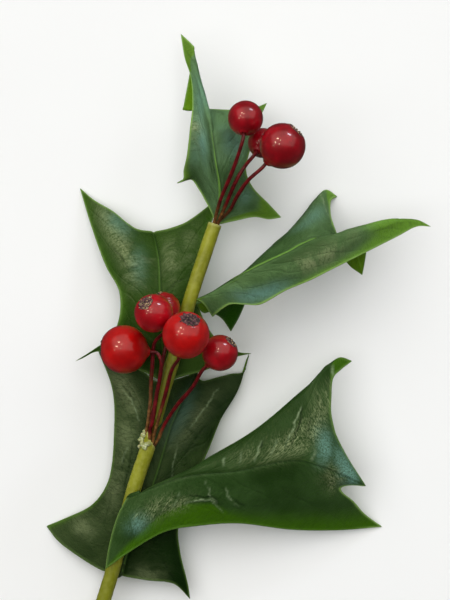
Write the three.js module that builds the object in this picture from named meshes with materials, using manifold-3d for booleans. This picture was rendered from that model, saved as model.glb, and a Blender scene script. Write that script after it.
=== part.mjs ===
// A holly sprig of moulded plastic, lying on a table: five glossy spined leaves and eight
// red berries on wires, all carried by a stem of two plastic tubes, one plugged in the other.
//
// Millimetres. +X is to the right, +Y runs from the butt of the stem to the top leaf, +Z is up
// from the table. Points are measured from the middle of the sprig's head, on the table, and the
// whole sprig is moved at the end so that the origin is the middle of its footprint.
import * as THREE from 'three';
import * as BufferGeometryUtils from 'three/addons/utils/BufferGeometryUtils.js';
import Module from 'manifold-3d';

const wasm = await Module();
wasm.setup();

// ---------------------------------------------------------------- driving dimensions
const LOWER_STEM_RADIUS = 1.85;
const LOWER_BORE_RADIUS = 1.52;
const LOWER_BORE_DEPTH = 9.4;
const UPPER_STEM_RADIUS = 1.75;
const UPPER_BORE_RADIUS = 1.35;
const UPPER_BORE_DEPTH = 6;
const FOOT_DEPTH = 0.5; // left between a wire's foot and the end of its bore
const STEM_SIDES = 14;
const PEG_RADIUS = 0.36; // the thin end of the upper stem, plugged in the lower one

const LEAF_THICKNESS = 0.55;
const LEAF_ROWS = 18; // from the foot to the tip
const LEAF_COLUMNS = 12; // from the right margin to the left
const PETIOLE_RADIUS = 0.6;

const STALK_RADIUS = 0.45;
const STALK_SIDES = 6;
const STALK_STEPS = 16;
const BERRY_SEGMENTS = 14; // round the berry
const BERRY_STEPS = 8; // from its neck to its crown
const BERRY_BORE_DEPTH = 1.4; // of the hole that the stalk is pushed into
const NECK_WALL = 0.45;
const NECK_LENGTH = 0.035; // of the berry's diameter
const CROWN_RADIUS = 0.2; // of the berry's diameter
const CROWN_POINTS = 9;
const CROWN_THICKNESS = 0.35;

const GAP = 0.3; // left between pieces that touch
const CLOSE_GAP = 0.05; // left between the wires and the tube they are pushed into

const COLOURS = {
  stem: 0x8c8c36,
  leaf: 0x2f5a2c,
  berry: 0xb0141c,
  stalk: 0x6e0f16,
  crown: 0x2b1a12,
  glue: 0xc9c88a,
};

// ---------------------------------------------------------------- where everything lies
// The stem rises from its butt on the table and levels out under the top leaf.
const LOWER_STEM_PATH = [
  [-44.75, -126, 1.87], [-38, -102, 4.6], [-30.75, -76, 7.1], [-28.75, -69.5, 7.9],
  [-23, -47.75, 10.8], [-21.2, -42.25, 11.5], [-18.9, -35.7, 12.4], [-17.67, -32.2, 12.88],
];
const UPPER_STEM_PATH = [
  [-17.4, -30, 13.25], [-15.3, -22.5, 14.2], [-12.75, -14.25, 15.2], [-8.75, 0, 16.4],
  [-5, 11.5, 16.8], [-2.5, 19, 16.8],
];
// The lower tube is cut off aslant. The cut is a plane: its way back into the tube, and its
// distance from the origin along that way.
const CUT_WAY = [-0.885, -0.466, 0];
const CUT_DISTANCE = 32.9;
// The upper stem thins to a peg, from here on down into the lower tube.
const PEG_PATH = [[-17.9, -32, 12.6], [-18.15, -33, 12.35], [-18.6, -34.4, 11.85]];
const PEG_FOOT = { angle: -90, out: 0.88, mouth: 3.8 };

// A leaf is a sheet between measured edges, each a list of points [x, y, z].
//   rib:  the midrib, from the foot to the notch at the tip
//   tip:  on from the notch to the end of the small middle spine
//   base, side, far: each half's edges. base runs from the foot to the spine near the foot,
//   side from there to the far spine, and far from the notch to the far spine.
// rests says that its lowest spine is let down until it touches the table.
const LEAVES = {
  leaf_lower_right: {
    rests: true,
    rib: [[-24.5, -49.5, 13.9], [-10, -44, 16.8], [3, -42.5, 18], [16, -40, 17.5], [30.5, -41.5, 13.5]],
    tip: [[33.5, -44, 11.5], [35.5, -47, 9]],
    left: {
      base: [[-21, -50, 12.6]],
      side: [
        [-17.5, -51, 11.3], [-13.5, -46.5, 13.2], [-5.5, -40.5, 15.5], [7.5, -32.5, 15.5],
        [19, -23.5, 12.5], [26, -16, 9.5], [29, -14.5, 8], [32, -15.5, 6.5],
      ],
      far: [[28.5, -36.5, 13.2], [26.5, -29, 12], [27, -20.5, 9.5], [29.5, -17, 8]],
    },
    right: {
      base: [[-27, -54.5, 13.6], [-29, -61.5, 12.4]],
      side: [
        [-30, -67.5, 11.4], [-24.5, -63.5, 12], [-15, -58, 12.5], [-6.5, -56.5, 12.5],
        [3, -56, 11.5], [17, -58, 7.5], [29.5, -58.5, 3.5], [40, -58, 0.4],
      ],
      far: [[29, -47.5, 10], [32.5, -51, 7], [35.5, -54.5, 3.5]],
    },
  },
  leaf_lower_left: {
    rests: true,
    rib: [[-26, -70, 5.4], [-24.5, -64, 6.4], [-18, -47, 8.2], [-14.5, -35.5, 8.2], [-11, -22.5, 5.8]],
    tip: [[-9, -20, 4.5], [-7, -18.5, 3]],
    left: {
      base: [[-28.5, -69.4, 4.9], [-31.5, -68.5, 4.6], [-37.5, -65, 3.8], [-42.5, -61.5, 2]],
      side: [
        [-45.5, -58, 0.4], [-41, -56, 2.2], [-33.5, -52, 4.8], [-29.5, -46, 6],
        [-28, -33, 6.2], [-28.5, -23, 5.2], [-32.5, -12.5, 2.5],
      ],
      far: [[-14.5, -22, 5.6], [-17.5, -21, 5.4], [-22, -17.5, 4.6], [-27.5, -14.5, 3.5]],
    },
    right: {
      base: [[-19.5, -71, 6], [-13, -72, 5.3]],
      side: [
        [-9, -76, 3.5], [-9.5, -72.5, 4.6], [-11.5, -64, 6], [-12, -57.5, 6.6], [-9, -48, 7],
        [-4.5, -38.5, 6.4], [-1, -30, 5.4], [3.5, -22.5, 3.8], [5, -18, 2.5], [6, -14, 1.5],
      ],
      far: [[-6, -21, 4.6], [1.5, -19, 3.6], [4.5, -18.5, 2.8]],
    },
  },
  leaf_upper_left: {
    rests: true,
    rib: [[-15, -21, 11.6], [-15.5, -11.5, 12.6], [-16, 0, 13.4], [-16.5, 10, 11.6], [-17.5, 17, 8]],
    tip: [[-17.8, 17.3, 6.6], [-18, 16.4, 4.8]],
    left: {
      base: [[-19, -18.5, 11.2], [-21.5, -17.5, 10.6], [-27, -14.5, 8.8], [-32, -13, 6.8]],
      side: [
        [-38, -15.5, 4.5], [-32.5, -12, 7], [-28.5, -9, 9], [-26.5, -4.5, 10], [-26.5, 2, 10],
        [-30, 8.5, 7.5], [-34, 19, 3.5], [-37, 28.5, 0.4],
      ],
      far: [[-22.5, 18, 7.6], [-28.5, 22.5, 5], [-33.5, 25.5, 2.5]],
    },
    right: {
      base: [[-12, -19.5, 11.4], [-5, -17.5, 10.6], [2, -14.5, 8.8]],
      side: [
        [6.5, -13.5, 7.5], [3, -13, 8.8], [-3, -9, 10.8], [-6.5, -2.5, 12], [-7, 2.5, 12],
        [-6, 9.5, 11], [-4, 18, 8], [-1, 26.5, 5],
      ],
      far: [[-14, 18, 8], [-10, 19.5, 7.5], [-4.5, 23.5, 6]],
    },
  },
  leaf_upper_right: {
    rests: true,
    rib: [[-6.5, 0, 17.5], [0.5, 5, 22], [7, 8, 25.5], [15, 11.5, 27], [22, 15, 25], [29.5, 16.5, 19.5]],
    tip: [[34, 14, 13], [34, 6.5, 9]],
    left: {
      base: [[-5.5, -1.5, 13], [-3, -4.5, 8]],
      side: [
        [1.5, -8, 4], [1, -1.5, 8], [1.5, 3.5, 12], [5, 8, 15], [11.5, 13, 16], [16, 17, 13.5],
        [20, 21.5, 9], [24, 26.5, 3.4], [26, 28, 1.5], [28.5, 26.5, 0.5],
      ],
      far: [[27.5, 16, 18.5], [27, 18.5, 15.5], [26.5, 22, 8.5], [27, 25.5, 2.8]],
    },
    right: {
      base: [[-5.5, -1, 16], [-4, -2.5, 12.5]],
      side: [
        [-3, -4, 9], [-2.5, -3.5, 12], [0, -1, 16.5], [5, -1, 18.5], [8.5, -1, 19.5],
        [15, 2.5, 21], [21, 5, 21.5], [27, 8, 20.5], [35, 12, 18], [43, 16, 15.5],
        [48, 18.5, 14], [51.5, 18.5, 13],
      ],
      far: [[31.5, 17, 18.8], [39, 18.5, 18.3], [47, 20, 14.8]],
    },
  },
  leaf_top: {
    rests: false,
    tipPower: 3,
    rib: [[-2, 19, 14.8], [-1, 26.5, 20], [-2, 33.5, 24], [-3, 40.5, 24.2], [-3.5, 46.5, 20.5]],
    tip: [[-5.5, 49.5, 14], [-10.5, 48, 11]],
    left: {
      tipWidth: 0.5,
      base: [[-3.5, 22.5, 15], [-6.5, 28, 12], [-8.5, 30.5, 9.5]],
      side: [
        [-12, 30, 7.5], [-10.5, 32, 10.5], [-9, 36, 15.5], [-8.5, 43, 18], [-8, 48.5, 17],
        [-8.5, 56, 14], [-10, 61, 11.5], [-11, 67, 9.5],
      ],
      far: [[-4, 50.5, 19], [-5, 55, 16.5], [-7.5, 63, 12.5]],
    },
    right: {
      base: [[2.5, 20, 14.5], [7.5, 21, 12], [11, 20.5, 10]],
      side: [
        [14, 21, 8], [11, 24, 11.5], [6.5, 28.5, 16.5], [5, 32.5, 19.5], [6, 37, 19.5],
        [8, 44, 12.5], [10.5, 50, 4],
      ],
      far: [[1, 47, 18], [6.5, 48, 10]],
    },
  },
};
const EDGE_PULL = 3; // how soon the bend of the base and far edges dies out inside the sheet
const TIP_ROWS = 0.2; // the last part of the rows, which the middle spine stretches
const TIP_WIDTH = 0.3; // the part of each half's far edge that the middle spine grows from

// Each berry: its middle, its diameter, the way its crown points, and its stalk's way there.
const BERRIES = {
  left: {
    middle: [-25, -12.25, 20], diameter: 12.1, crown: [-1, 0.1, 0],
    foot: { angle: 105, out: 0.98, mouth: 3.8 },
    stalk: [
      [-18.85, -34.4, 14.2], [-18.75, -32.5, 15.1], [-18, -30.1, 16.4], [-17.4, -26.2, 17.2],
      [-16.9, -23, 17.9], [-15.9, -17.8, 19.6], [-15.9, -14.8, 20.2],
    ],
  },
  middle: {
    middle: [-17.5, -3.25, 26.7], diameter: 9.5, crown: [-0.46, 0.61, 0.64],
    foot: { angle: 180, out: 0.98, mouth: 3.8 },
    stalk: [
      [-19.75, -34.4, 12.9], [-19.6, -32.5, 13.5], [-19.2, -30.1, 14.7], [-18.6, -25, 15.9],
      [-18.4, -20, 17.3], [-18.1, -16.5, 18.2], [-17.4, -10.5, 19.4],
    ],
  },
  ridged: {
    middle: [-15.1, -2, 18], diameter: 8, crown: [-0.45, 0.88, 0.1],
    foot: { angle: 0, out: 0, mouth: 3.8 },
    stalk: [
      [-18.65, -34.4, 13.1], [-18.7, -32.5, 14], [-18.4, -30.1, 15.3], [-17.6, -26.2, 15.9],
      [-16.7, -22, 16.5], [-15.3, -14, 17.6], [-14.1, -9.8, 17.7],
    ],
  },
  front: {
    middle: [-9.5, -8.5, 31.8], diameter: 11.6, crown: [0.23, 0.75, 0.62],
    foot: { angle: 43, out: 0.98, mouth: 3.8 },
    stalk: [
      [-17.95, -34.4, 13.75], [-17.5, -32.5, 14.6], [-16.75, -30.1, 15.6], [-14.75, -23.25, 18.6],
      [-13, -17, 23.3],
    ],
  },
  right: {
    middle: [-1.25, -13, 25], diameter: 8.9, crown: [0.68, 0.68, 0.28],
    foot: { angle: -14, out: 0.98, mouth: 5.6 },
    stalk: [
      [-17.45, -36, 12.4], [-16.55, -34.4, 13.1], [-15.8, -32.5, 14], [-14.6, -30.2, 15.2],
      [-11.8, -26, 17.5], [-8, -21.5, 21],
    ],
  },
  top_left: {
    middle: [5, 44.5, 27], diameter: 8.7, crown: [0.1, 0.85, -0.5],
    foot: { angle: 110, out: 0.75, mouth: 0 },
    stalk: [[-1.2, 24.5, 22.2], [2, 32, 27.2]],
  },
  top_back: {
    middle: [9.3, 38.8, 21.8], diameter: 7.4, crown: [0.4, 0.6, -0.7],
    foot: { angle: 30, out: 0.75, mouth: 0 },
    stalk: [[0.4, 24, 21.2], [2.9, 29.6, 24.4], [5, 33, 24.8]],
  },
  top_right: {
    middle: [14, 37.5, 30.5], diameter: 11.2, crown: [0.68, 0.72, 0.15],
    foot: { angle: -60, out: 0.75, mouth: 0 },
    stalk: [[1.1, 22.2, 18.9], [3.1, 25.7, 23.9], [5.8, 29.4, 27.8]],
  },
};

// Lumps of the glue and frayed plastic round the slanting end of the lower tube: middle, radius.
const GLUE_LUMPS = [
  [-20.1, -32.9, 13.1, 0.55], [-20.5, -33.9, 13.4, 0.7], [-20.9, -34.9, 13.2, 0.75],
  [-21.45, -35.1, 12.4, 0.45], [-20.7, -36, 13.7, 0.7], [-21.4, -36.8, 12.6, 0.5],
  [-20.1, -36.9, 14.1, 0.65], [-19.6, -36.1, 14.3, 0.6], [-19, -35.9, 14.4, 0.55],
];

// ---------------------------------------------------------------- helpers
const point = ([x, y, z]) => new THREE.Vector3(x, y, z);
const curveThrough = (points) => new THREE.CatmullRomCurve3(points.map(point), false, 'centripetal');

function solid(geometry) {
  const bare = geometry.clone();
  bare.deleteAttribute('normal');
  bare.deleteAttribute('uv');
  const merged = BufferGeometryUtils.mergeVertices(bare, 1e-4);
  return new wasm.Manifold(new wasm.Mesh({
    numProp: 3,
    vertProperties: new Float32Array(merged.attributes.position.array),
    triVerts: new Uint32Array(merged.index.array),
  }));
}

function geometryOf(manifold) {
  const mesh = manifold.getMesh();
  const geometry = new THREE.BufferGeometry();
  geometry.setAttribute('position', new THREE.BufferAttribute(mesh.vertProperties, 3));
  geometry.setIndex(new THREE.BufferAttribute(mesh.triVerts, 1));
  return geometry;
}

const subtractAll = (body, others) => others.reduce((rest, other) => rest.subtract(other), body);
const largestPart = (body) => body.decompose().sort((a, b) => b.volume() - a.volume())[0];

function roundTube(points, radius, sides, steps) {
  const section = new THREE.Shape();
  for (let i = 0; i <= sides; i += 1) {
    const angle = (2 * Math.PI * i) / sides;
    const corner = [radius * Math.cos(angle), radius * Math.sin(angle)];
    if (i === 0) section.moveTo(...corner);
    else section.lineTo(...corner);
  }
  const extrudePath = curveThrough(points);
  return new THREE.ExtrudeGeometry(section, { steps, extrudePath, bevelEnabled: false });
}

// How the open end of a stem lies: its middle, the way out of it, and the ways right and up.
function openEnd(path) {
  const end = point(path.at(-1));
  const along = end.clone().sub(point(path.at(-2))).normalize();
  const right = along.clone().cross(new THREE.Vector3(0, 0, 1)).normalize();
  return { end, along, right, up: right.clone().cross(along) };
}

// A straight run inside the bore of a stem's open end, from its foot to the mouth.
function inBore(opening, foot, deepest) {
  const angle = THREE.MathUtils.degToRad(foot.angle);
  const { end, along, right, up } = opening;
  const line = end.clone().addScaledVector(right, foot.out * Math.cos(angle));
  line.addScaledVector(up, foot.out * Math.sin(angle));
  const depths = [deepest, (deepest + foot.mouth) / 2, foot.mouth];
  return depths.map((depth) => line.clone().addScaledVector(along, -depth).toArray());
}

function named(name, geometry, colour, roughness) {
  const material = new THREE.MeshStandardMaterial({ color: colour, roughness, metalness: 0 });
  const mesh = new THREE.Mesh(geometry, material);
  mesh.name = name;
  return mesh;
}

// ---------------------------------------------------------------- leaves
// The sheet's middle surface at u, from the foot (0) to the tip (1), and v, from the rib (0)
// to the margin (1): a blend of the half's four edges, with the middle spine drawn out at the tip.
function halfSurface(leaf, half) {
  const foot = leaf.rib[0];
  const notch = leaf.rib.at(-1);
  const nearSpine = half.side[0];
  const farSpine = half.side.at(-1);
  const rib = curveThrough(leaf.rib);
  const side = curveThrough(half.side);
  const base = curveThrough([foot, ...half.base, nearSpine]);
  const far = curveThrough([notch, ...half.far, farSpine]);
  const tip = curveThrough([notch, ...leaf.tip]);
  const corners = [foot, notch, nearSpine, farSpine].map(point);
  return (u, v) => {
    const place = rib.getPointAt(u).lerp(side.getPointAt(u), v);
    const baseBend = base.getPointAt(v).sub(corners[0].clone().lerp(corners[2], v));
    const farBend = far.getPointAt(v).sub(corners[1].clone().lerp(corners[3], v));
    place.addScaledVector(baseBend, (1 - u) ** EDGE_PULL).addScaledVector(farBend, u ** EDGE_PULL);
    const along = Math.max(0, (u - 1 + TIP_ROWS) / TIP_ROWS);
    const across = Math.max(0, 1 - (v / (half.tipWidth ?? TIP_WIDTH)) ** (leaf.tipPower ?? 1));
    const drawn = tip.getPointAt(along).sub(corners[1]);
    return place.addScaledVector(drawn, across);
  };
}

function leafSurface(leaf) {
  const left = halfSurface(leaf, leaf.left);
  const right = halfSurface(leaf, leaf.right);
  return (u, v) => (v < 0 ? right(u, -v) : left(u, v));
}

function surfaceNormal(surface, u, v) {
  const step = 0.02;
  const clamp = (value, low) => Math.min(1, Math.max(low, value));
  const along = surface(clamp(u + step, 0), v).sub(surface(clamp(u - step, 0), v));
  const across = surface(u, clamp(v + step, -1)).sub(surface(u, clamp(v - step, -1)));
  return along.cross(across).normalize();
}

// A flat box of many cells, bent so that its two faces follow the surface.
function sheet(leaf) {
  const surface = leafSurface(leaf);
  const box = new THREE.BoxGeometry(1, 2, 1, LEAF_ROWS, LEAF_COLUMNS, 1);
  const places = box.attributes.position;
  for (let i = 0; i < places.count; i += 1) {
    const u = places.getX(i) + 0.5;
    const v = places.getY(i);
    const offset = surfaceNormal(surface, u, v).multiplyScalar(places.getZ(i) * LEAF_THICKNESS);
    const place = surface(u, v).add(offset);
    places.setXYZ(i, place.x, place.y, place.z);
  }
  if (leaf.rests) letDown(places, point(leaf.rib[0]));
  return box;
}

// Bends the whole sheet down, more the further it is from the foot, until it rests on the table.
function letDown(places, foot) {
  const reach = new THREE.Box3().setFromBufferAttribute(places).getSize(new THREE.Vector3()).length();
  const place = new THREE.Vector3();
  for (let round = 0; round < 4; round += 1) {
    let lowest = Infinity;
    let share = 1;
    for (let i = 0; i < places.count; i += 1) {
      place.fromBufferAttribute(places, i);
      if (place.z < lowest) {
        lowest = place.z;
        share = (place.distanceTo(foot) / reach) ** 2;
      }
    }
    for (let i = 0; i < places.count; i += 1) {
      place.fromBufferAttribute(places, i);
      places.setZ(i, place.z - (lowest / share) * (place.distanceTo(foot) / reach) ** 2);
    }
  }
}

// The short leaf stalks, from inside the stem to under the first part of the midrib.
const PETIOLES = {
  leaf_lower_right: [[-24.6, -52.5, 10.2], [-24, -49.5, 12.8], [-21.3, -48.2, 14.2]],
  leaf_lower_left: [[-29, -70.6, 7.8], [-26.3, -69.4, 5], [-25.6, -66.9, 5.4]],
  leaf_upper_left: [[-15.4, -24.5, 13.9], [-15.1, -20.3, 11.1], [-15.3, -17.2, 11.4]],
  leaf_upper_right: [[-9, -0.8, 16.4], [-6.3, -0.5, 16.9], [-4.2, 0.6, 17.9]],
  leaf_top: [[-3.6, 15.8, 15.9], [-2, 19.5, 14.6], [-1.6, 22, 16.4]],
};

function leafSolid(name, kept) {
  const leaf = LEAVES[name];
  const petiole = solid(roundTube(PETIOLES[name], PETIOLE_RADIUS, 8, 5));
  // Cutting can leave a crumb on the far side of the stem, so only the largest part is kept.
  return largestPart(subtractAll(solid(sheet(leaf)).add(petiole), kept));
}

// ---------------------------------------------------------------- berries
function berryParts(berry, opening, deepest) {
  const radius = berry.diameter / 2;
  const axis = point(berry.crown).normalize();
  const bottom = -radius - berry.diameter * NECK_LENGTH;
  const boreRadius = STALK_RADIUS + GAP;
  const neckRadius = boreRadius + NECK_WALL;
  const crownRadius = berry.diameter * CROWN_RADIUS;
  const seat = Math.sqrt(radius ** 2 - crownRadius ** 2) - 0.3;
  const neckAngle = Math.asin(neckRadius / radius) + 0.22;
  const crownAngle = Math.asin(crownRadius / radius) + 0.06;
  const boreEnd = BERRY_BORE_DEPTH - radius;
  const profile = [[0, boreEnd], [boreRadius, boreEnd], [boreRadius, bottom], [neckRadius, bottom]];
  for (let i = 0; i <= BERRY_STEPS; i += 1) {
    const angle = neckAngle + ((Math.PI - neckAngle - crownAngle) * i) / BERRY_STEPS;
    profile.push([radius * Math.sin(angle), -radius * Math.cos(angle)]);
  }
  profile.push([crownRadius, seat], [0, seat - 0.1]);
  const body = new THREE.LatheGeometry(profile.map(([r, y]) => new THREE.Vector2(r, y)), BERRY_SEGMENTS);

  const star = new THREE.Shape();
  for (let i = 0; i < 2 * CROWN_POINTS; i += 1) {
    const angle = (Math.PI * i) / CROWN_POINTS;
    const out = (crownRadius - 0.1) * (i % 2 ? 0.78 : 1);
    const corner = [out * Math.cos(angle), out * Math.sin(angle)];
    if (i === 0) star.moveTo(...corner);
    else star.lineTo(...corner);
  }
  star.closePath();
  const crown = new THREE.ExtrudeGeometry(star, { depth: CROWN_THICKNESS, bevelEnabled: false });
  crown.rotateX(-Math.PI / 2).translate(0, seat + GAP, 0);

  const neck = (distance) => point(berry.middle).addScaledVector(axis, -distance).toArray();
  const foot = inBore(opening, berry.foot, deepest);
  const stalkEnd = [neck(1.6 - bottom), neck(-bottom), neck(GAP - boreEnd)];
  const stalkPath = [...foot, ...berry.stalk, ...stalkEnd];
  return { body, crown, axis, stalkPath };
}

function place(mesh, berry, axis) {
  mesh.position.set(...berry.middle);
  mesh.quaternion.setFromUnitVectors(new THREE.Vector3(0, 1, 0), axis);
  return mesh;
}

// ---------------------------------------------------------------- the sprig
const sprig = new THREE.Group();
const stalkRoom = []; // the stalks with a gap round them
const stalkNick = []; // the same with the close gap of the bores
const lowerEnd = openEnd(LOWER_STEM_PATH);
const upperEnd = openEnd(UPPER_STEM_PATH);

for (const [name, berry] of Object.entries(BERRIES)) {
  const onTop = name.startsWith('top_');
  const deepest = (onTop ? UPPER_BORE_DEPTH : LOWER_BORE_DEPTH) - FOOT_DEPTH;
  const { body, crown, axis, stalkPath } = berryParts(berry, onTop ? upperEnd : lowerEnd, deepest);
  sprig.add(place(named(`berry_${name}`, body, COLOURS.berry, 0.2), berry, axis));
  sprig.add(place(named(`crown_${name}`, crown, COLOURS.crown, 0.9), berry, axis));
  const tube = (radius) => roundTube(stalkPath, radius, STALK_SIDES, STALK_STEPS);
  sprig.add(named(`stalk_${name}`, tube(STALK_RADIUS), COLOURS.stalk, 0.4));
  stalkRoom.push(solid(tube(STALK_RADIUS + GAP)));
  stalkNick.push(solid(tube(STALK_RADIUS + CLOSE_GAP)));
}

// A straight rod in line with a stem's open end, from inside the stem to beyond its mouth.
function endRod(opening, radius, depth, beyond) {
  const line = [-depth, beyond].map((way) => opening.end.clone().addScaledVector(opening.along, way));
  return solid(roundTube(line.map((end) => end.toArray()), radius, STEM_SIDES, 1));
}

function taper() {
  const wide = point(UPPER_STEM_PATH[0]);
  const narrow = point(PEG_PATH[1]);
  const way = wide.clone().sub(narrow);
  const cone = new THREE.CylinderGeometry(UPPER_STEM_RADIUS * 0.98, PEG_RADIUS, way.length(), STEM_SIDES);
  const turn = new THREE.Quaternion().setFromUnitVectors(new THREE.Vector3(0, 1, 0), way.normalize());
  const middle = wide.add(narrow).multiplyScalar(0.5);
  return solid(cone.applyQuaternion(turn).translate(...middle.toArray()));
}

const lowerTube = (radius) => solid(roundTube(LOWER_STEM_PATH, radius, STEM_SIDES, 18));
const upperTube = (radius) => solid(roundTube(UPPER_STEM_PATH, radius, STEM_SIDES, 12));
const upperBore = endRod(upperEnd, UPPER_BORE_RADIUS, UPPER_BORE_DEPTH, 1);

let lowerStem = lowerTube(LOWER_STEM_RADIUS).trimByPlane(CUT_WAY, CUT_DISTANCE);
lowerStem = lowerStem.subtract(endRod(lowerEnd, LOWER_BORE_RADIUS, LOWER_BORE_DEPTH, 1));
lowerStem = subtractAll(lowerStem, stalkNick);
sprig.add(named('stem_lower', geometryOf(largestPart(lowerStem)), COLOURS.stem, 0.45));

const pegFoot = inBore(lowerEnd, PEG_FOOT, LOWER_BORE_DEPTH - FOOT_DEPTH).reverse();
const peg = solid(roundTube([...PEG_PATH, ...pegFoot], PEG_RADIUS, 8, 8));
let upperStem = subtractAll(upperTube(UPPER_STEM_RADIUS).add(taper()), stalkRoom.slice(0, 5));
upperStem = subtractAll(upperStem.add(peg).subtract(upperBore), stalkNick);
sprig.add(named('stem_upper', geometryOf(largestPart(upperStem)), COLOURS.stem, 0.45));

const lowerRoom = lowerTube(LOWER_STEM_RADIUS + GAP);
const roomRadius = UPPER_STEM_RADIUS + GAP;
const upperRoom = upperTube(roomRadius).add(endRod(upperEnd, roomRadius, 1, GAP));

for (const name of Object.keys(LEAVES)) {
  const body = leafSolid(name, [lowerRoom, upperRoom, ...stalkRoom]);
  sprig.add(named(name, geometryOf(body), COLOURS.leaf, 0.3));
}

let glue = null;
for (const [x, y, z, radius] of GLUE_LUMPS) {
  const lump = solid(new THREE.IcosahedronGeometry(radius, 1).translate(x, y, z));
  glue = glue ? glue.add(lump) : lump;
}
glue = glue.subtract(lowerRoom.trimByPlane(CUT_WAY, CUT_DISTANCE - GAP));
glue = subtractAll(glue, [upperRoom, ...stalkRoom]);
sprig.add(named('glue_collar', geometryOf(largestPart(glue)), COLOURS.glue, 0.6));

// The origin is the middle of the footprint, on the table.
const bounds = new THREE.Box3().setFromObject(sprig, true);
const middle = bounds.getCenter(new THREE.Vector3());
sprig.position.set(-middle.x, -middle.y, -bounds.min.z);

export default sprig;
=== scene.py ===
# %% [markdown]
# # An artificial holly sprig
# The sprig is a bunch of moulded plastic leaves and wired berries on a stem of plastic tube. It
# lies on a table and the camera looks down on it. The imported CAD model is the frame: every
# piece here stands for one CAD solid, in the same place and at the same size, with the detail
# that the plain solid lacks.

# %% Load the frame
import math

import bpy
import numpy as np
from mathutils import Matrix, Vector, noise


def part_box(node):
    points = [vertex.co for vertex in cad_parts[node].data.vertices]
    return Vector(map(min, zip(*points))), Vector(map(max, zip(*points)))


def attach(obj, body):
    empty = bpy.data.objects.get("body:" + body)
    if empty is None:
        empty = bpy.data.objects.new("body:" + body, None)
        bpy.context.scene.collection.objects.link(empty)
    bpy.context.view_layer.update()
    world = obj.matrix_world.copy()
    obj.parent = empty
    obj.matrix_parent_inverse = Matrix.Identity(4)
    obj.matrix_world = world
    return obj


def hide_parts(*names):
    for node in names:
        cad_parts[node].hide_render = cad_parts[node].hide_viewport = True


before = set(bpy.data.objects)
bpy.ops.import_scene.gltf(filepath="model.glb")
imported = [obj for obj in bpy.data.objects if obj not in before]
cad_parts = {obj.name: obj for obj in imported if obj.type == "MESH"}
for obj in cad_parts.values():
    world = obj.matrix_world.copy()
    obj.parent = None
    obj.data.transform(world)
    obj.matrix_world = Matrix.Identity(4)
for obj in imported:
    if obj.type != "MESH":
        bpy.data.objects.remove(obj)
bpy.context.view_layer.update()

print("nodes in the frame:", len(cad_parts))

# %% [markdown]
# ## Units and place
# Blender works in metres, but leaves and berries are easier to think about in millimetres. All
# shapes below are written in millimetres, measured from the middle of the sprig's head, and
# one helper turns them into metres in the frame, whose origin is the middle of the footprint.

# %% Millimetres to the frame
MM = 0.001
HEAD_IN_FRAME = np.array([-2.533, 29.739, 0.0])


def to_frame(places):
    return (np.asarray(places, float) + HEAD_IN_FRAME) * MM


top_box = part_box("leaf_top")
print("the top leaf reaches to y =", round(top_box[1][1] / MM, 1), "mm in the frame")

# %% [markdown]
# ## Smooth curves
# Ribs, margins, stems and wires are all long smooth curves through a few known points. A
# centripetal Catmull-Rom spline passes through its points without loops or overshoot. It is
# sampled finely and then read by the share of its length, so that rows of vertices are evenly
# spaced.

# %% A curve through points
CURVE_SAMPLES = 60


def curve_through(points):
    points = np.asarray(points, float)
    padded = np.vstack([2 * points[0] - points[1], points, 2 * points[-1] - points[-2]])
    step = np.maximum(np.linalg.norm(np.diff(padded, axis=0), axis=1), 1e-6) ** 0.5
    t = np.linspace(0, 1, CURVE_SAMPLES, endpoint=False)[:, None]
    runs = []
    for i in range(len(points) - 1):
        p0, p1, p2, p3 = padded[i:i + 4]
        d0, d1, d2 = step[i:i + 3]
        leave = ((p1 - p0) / d0 - (p2 - p0) / (d0 + d1) + (p2 - p1) / d1) * d1
        arrive = ((p2 - p1) / d1 - (p3 - p1) / (d1 + d2) + (p3 - p2) / d2) * d1
        bend = -3 * p1 + 3 * p2 - 2 * leave - arrive
        twist = 2 * p1 - 2 * p2 + leave + arrive
        runs.append(p1 + leave * t + bend * t ** 2 + twist * t ** 3)
    line = np.vstack([*runs, points[-1:]])
    length = np.concatenate([[0], np.cumsum(np.linalg.norm(np.diff(line, axis=0), axis=1))])
    share = length / length[-1]

    def at(where):
        return np.stack([np.interp(where, share, line[:, axis]) for axis in range(3)], axis=-1)

    at.length = length[-1]
    return at


test_curve = curve_through([[0, 0, 0], [3, 4, 0], [6, 0, 0]])
print("a test curve is", round(test_curve.length, 2), "mm long")

# %% [markdown]
# ## The leaves as measured edges
# A holly leaf has four sharp spines near its corners and a small one at its tip, and each of
# these is bent its own way. So each leaf is described by its edges: the midrib from foot to
# tip, and for each half the margin from the near spine to the far spine, the base edge and the
# far edge. The half's surface is a blend of the rib and the margin, pulled towards the other
# two edges near its ends. A scanned mesh would do the same, but nobody could edit it.

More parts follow.
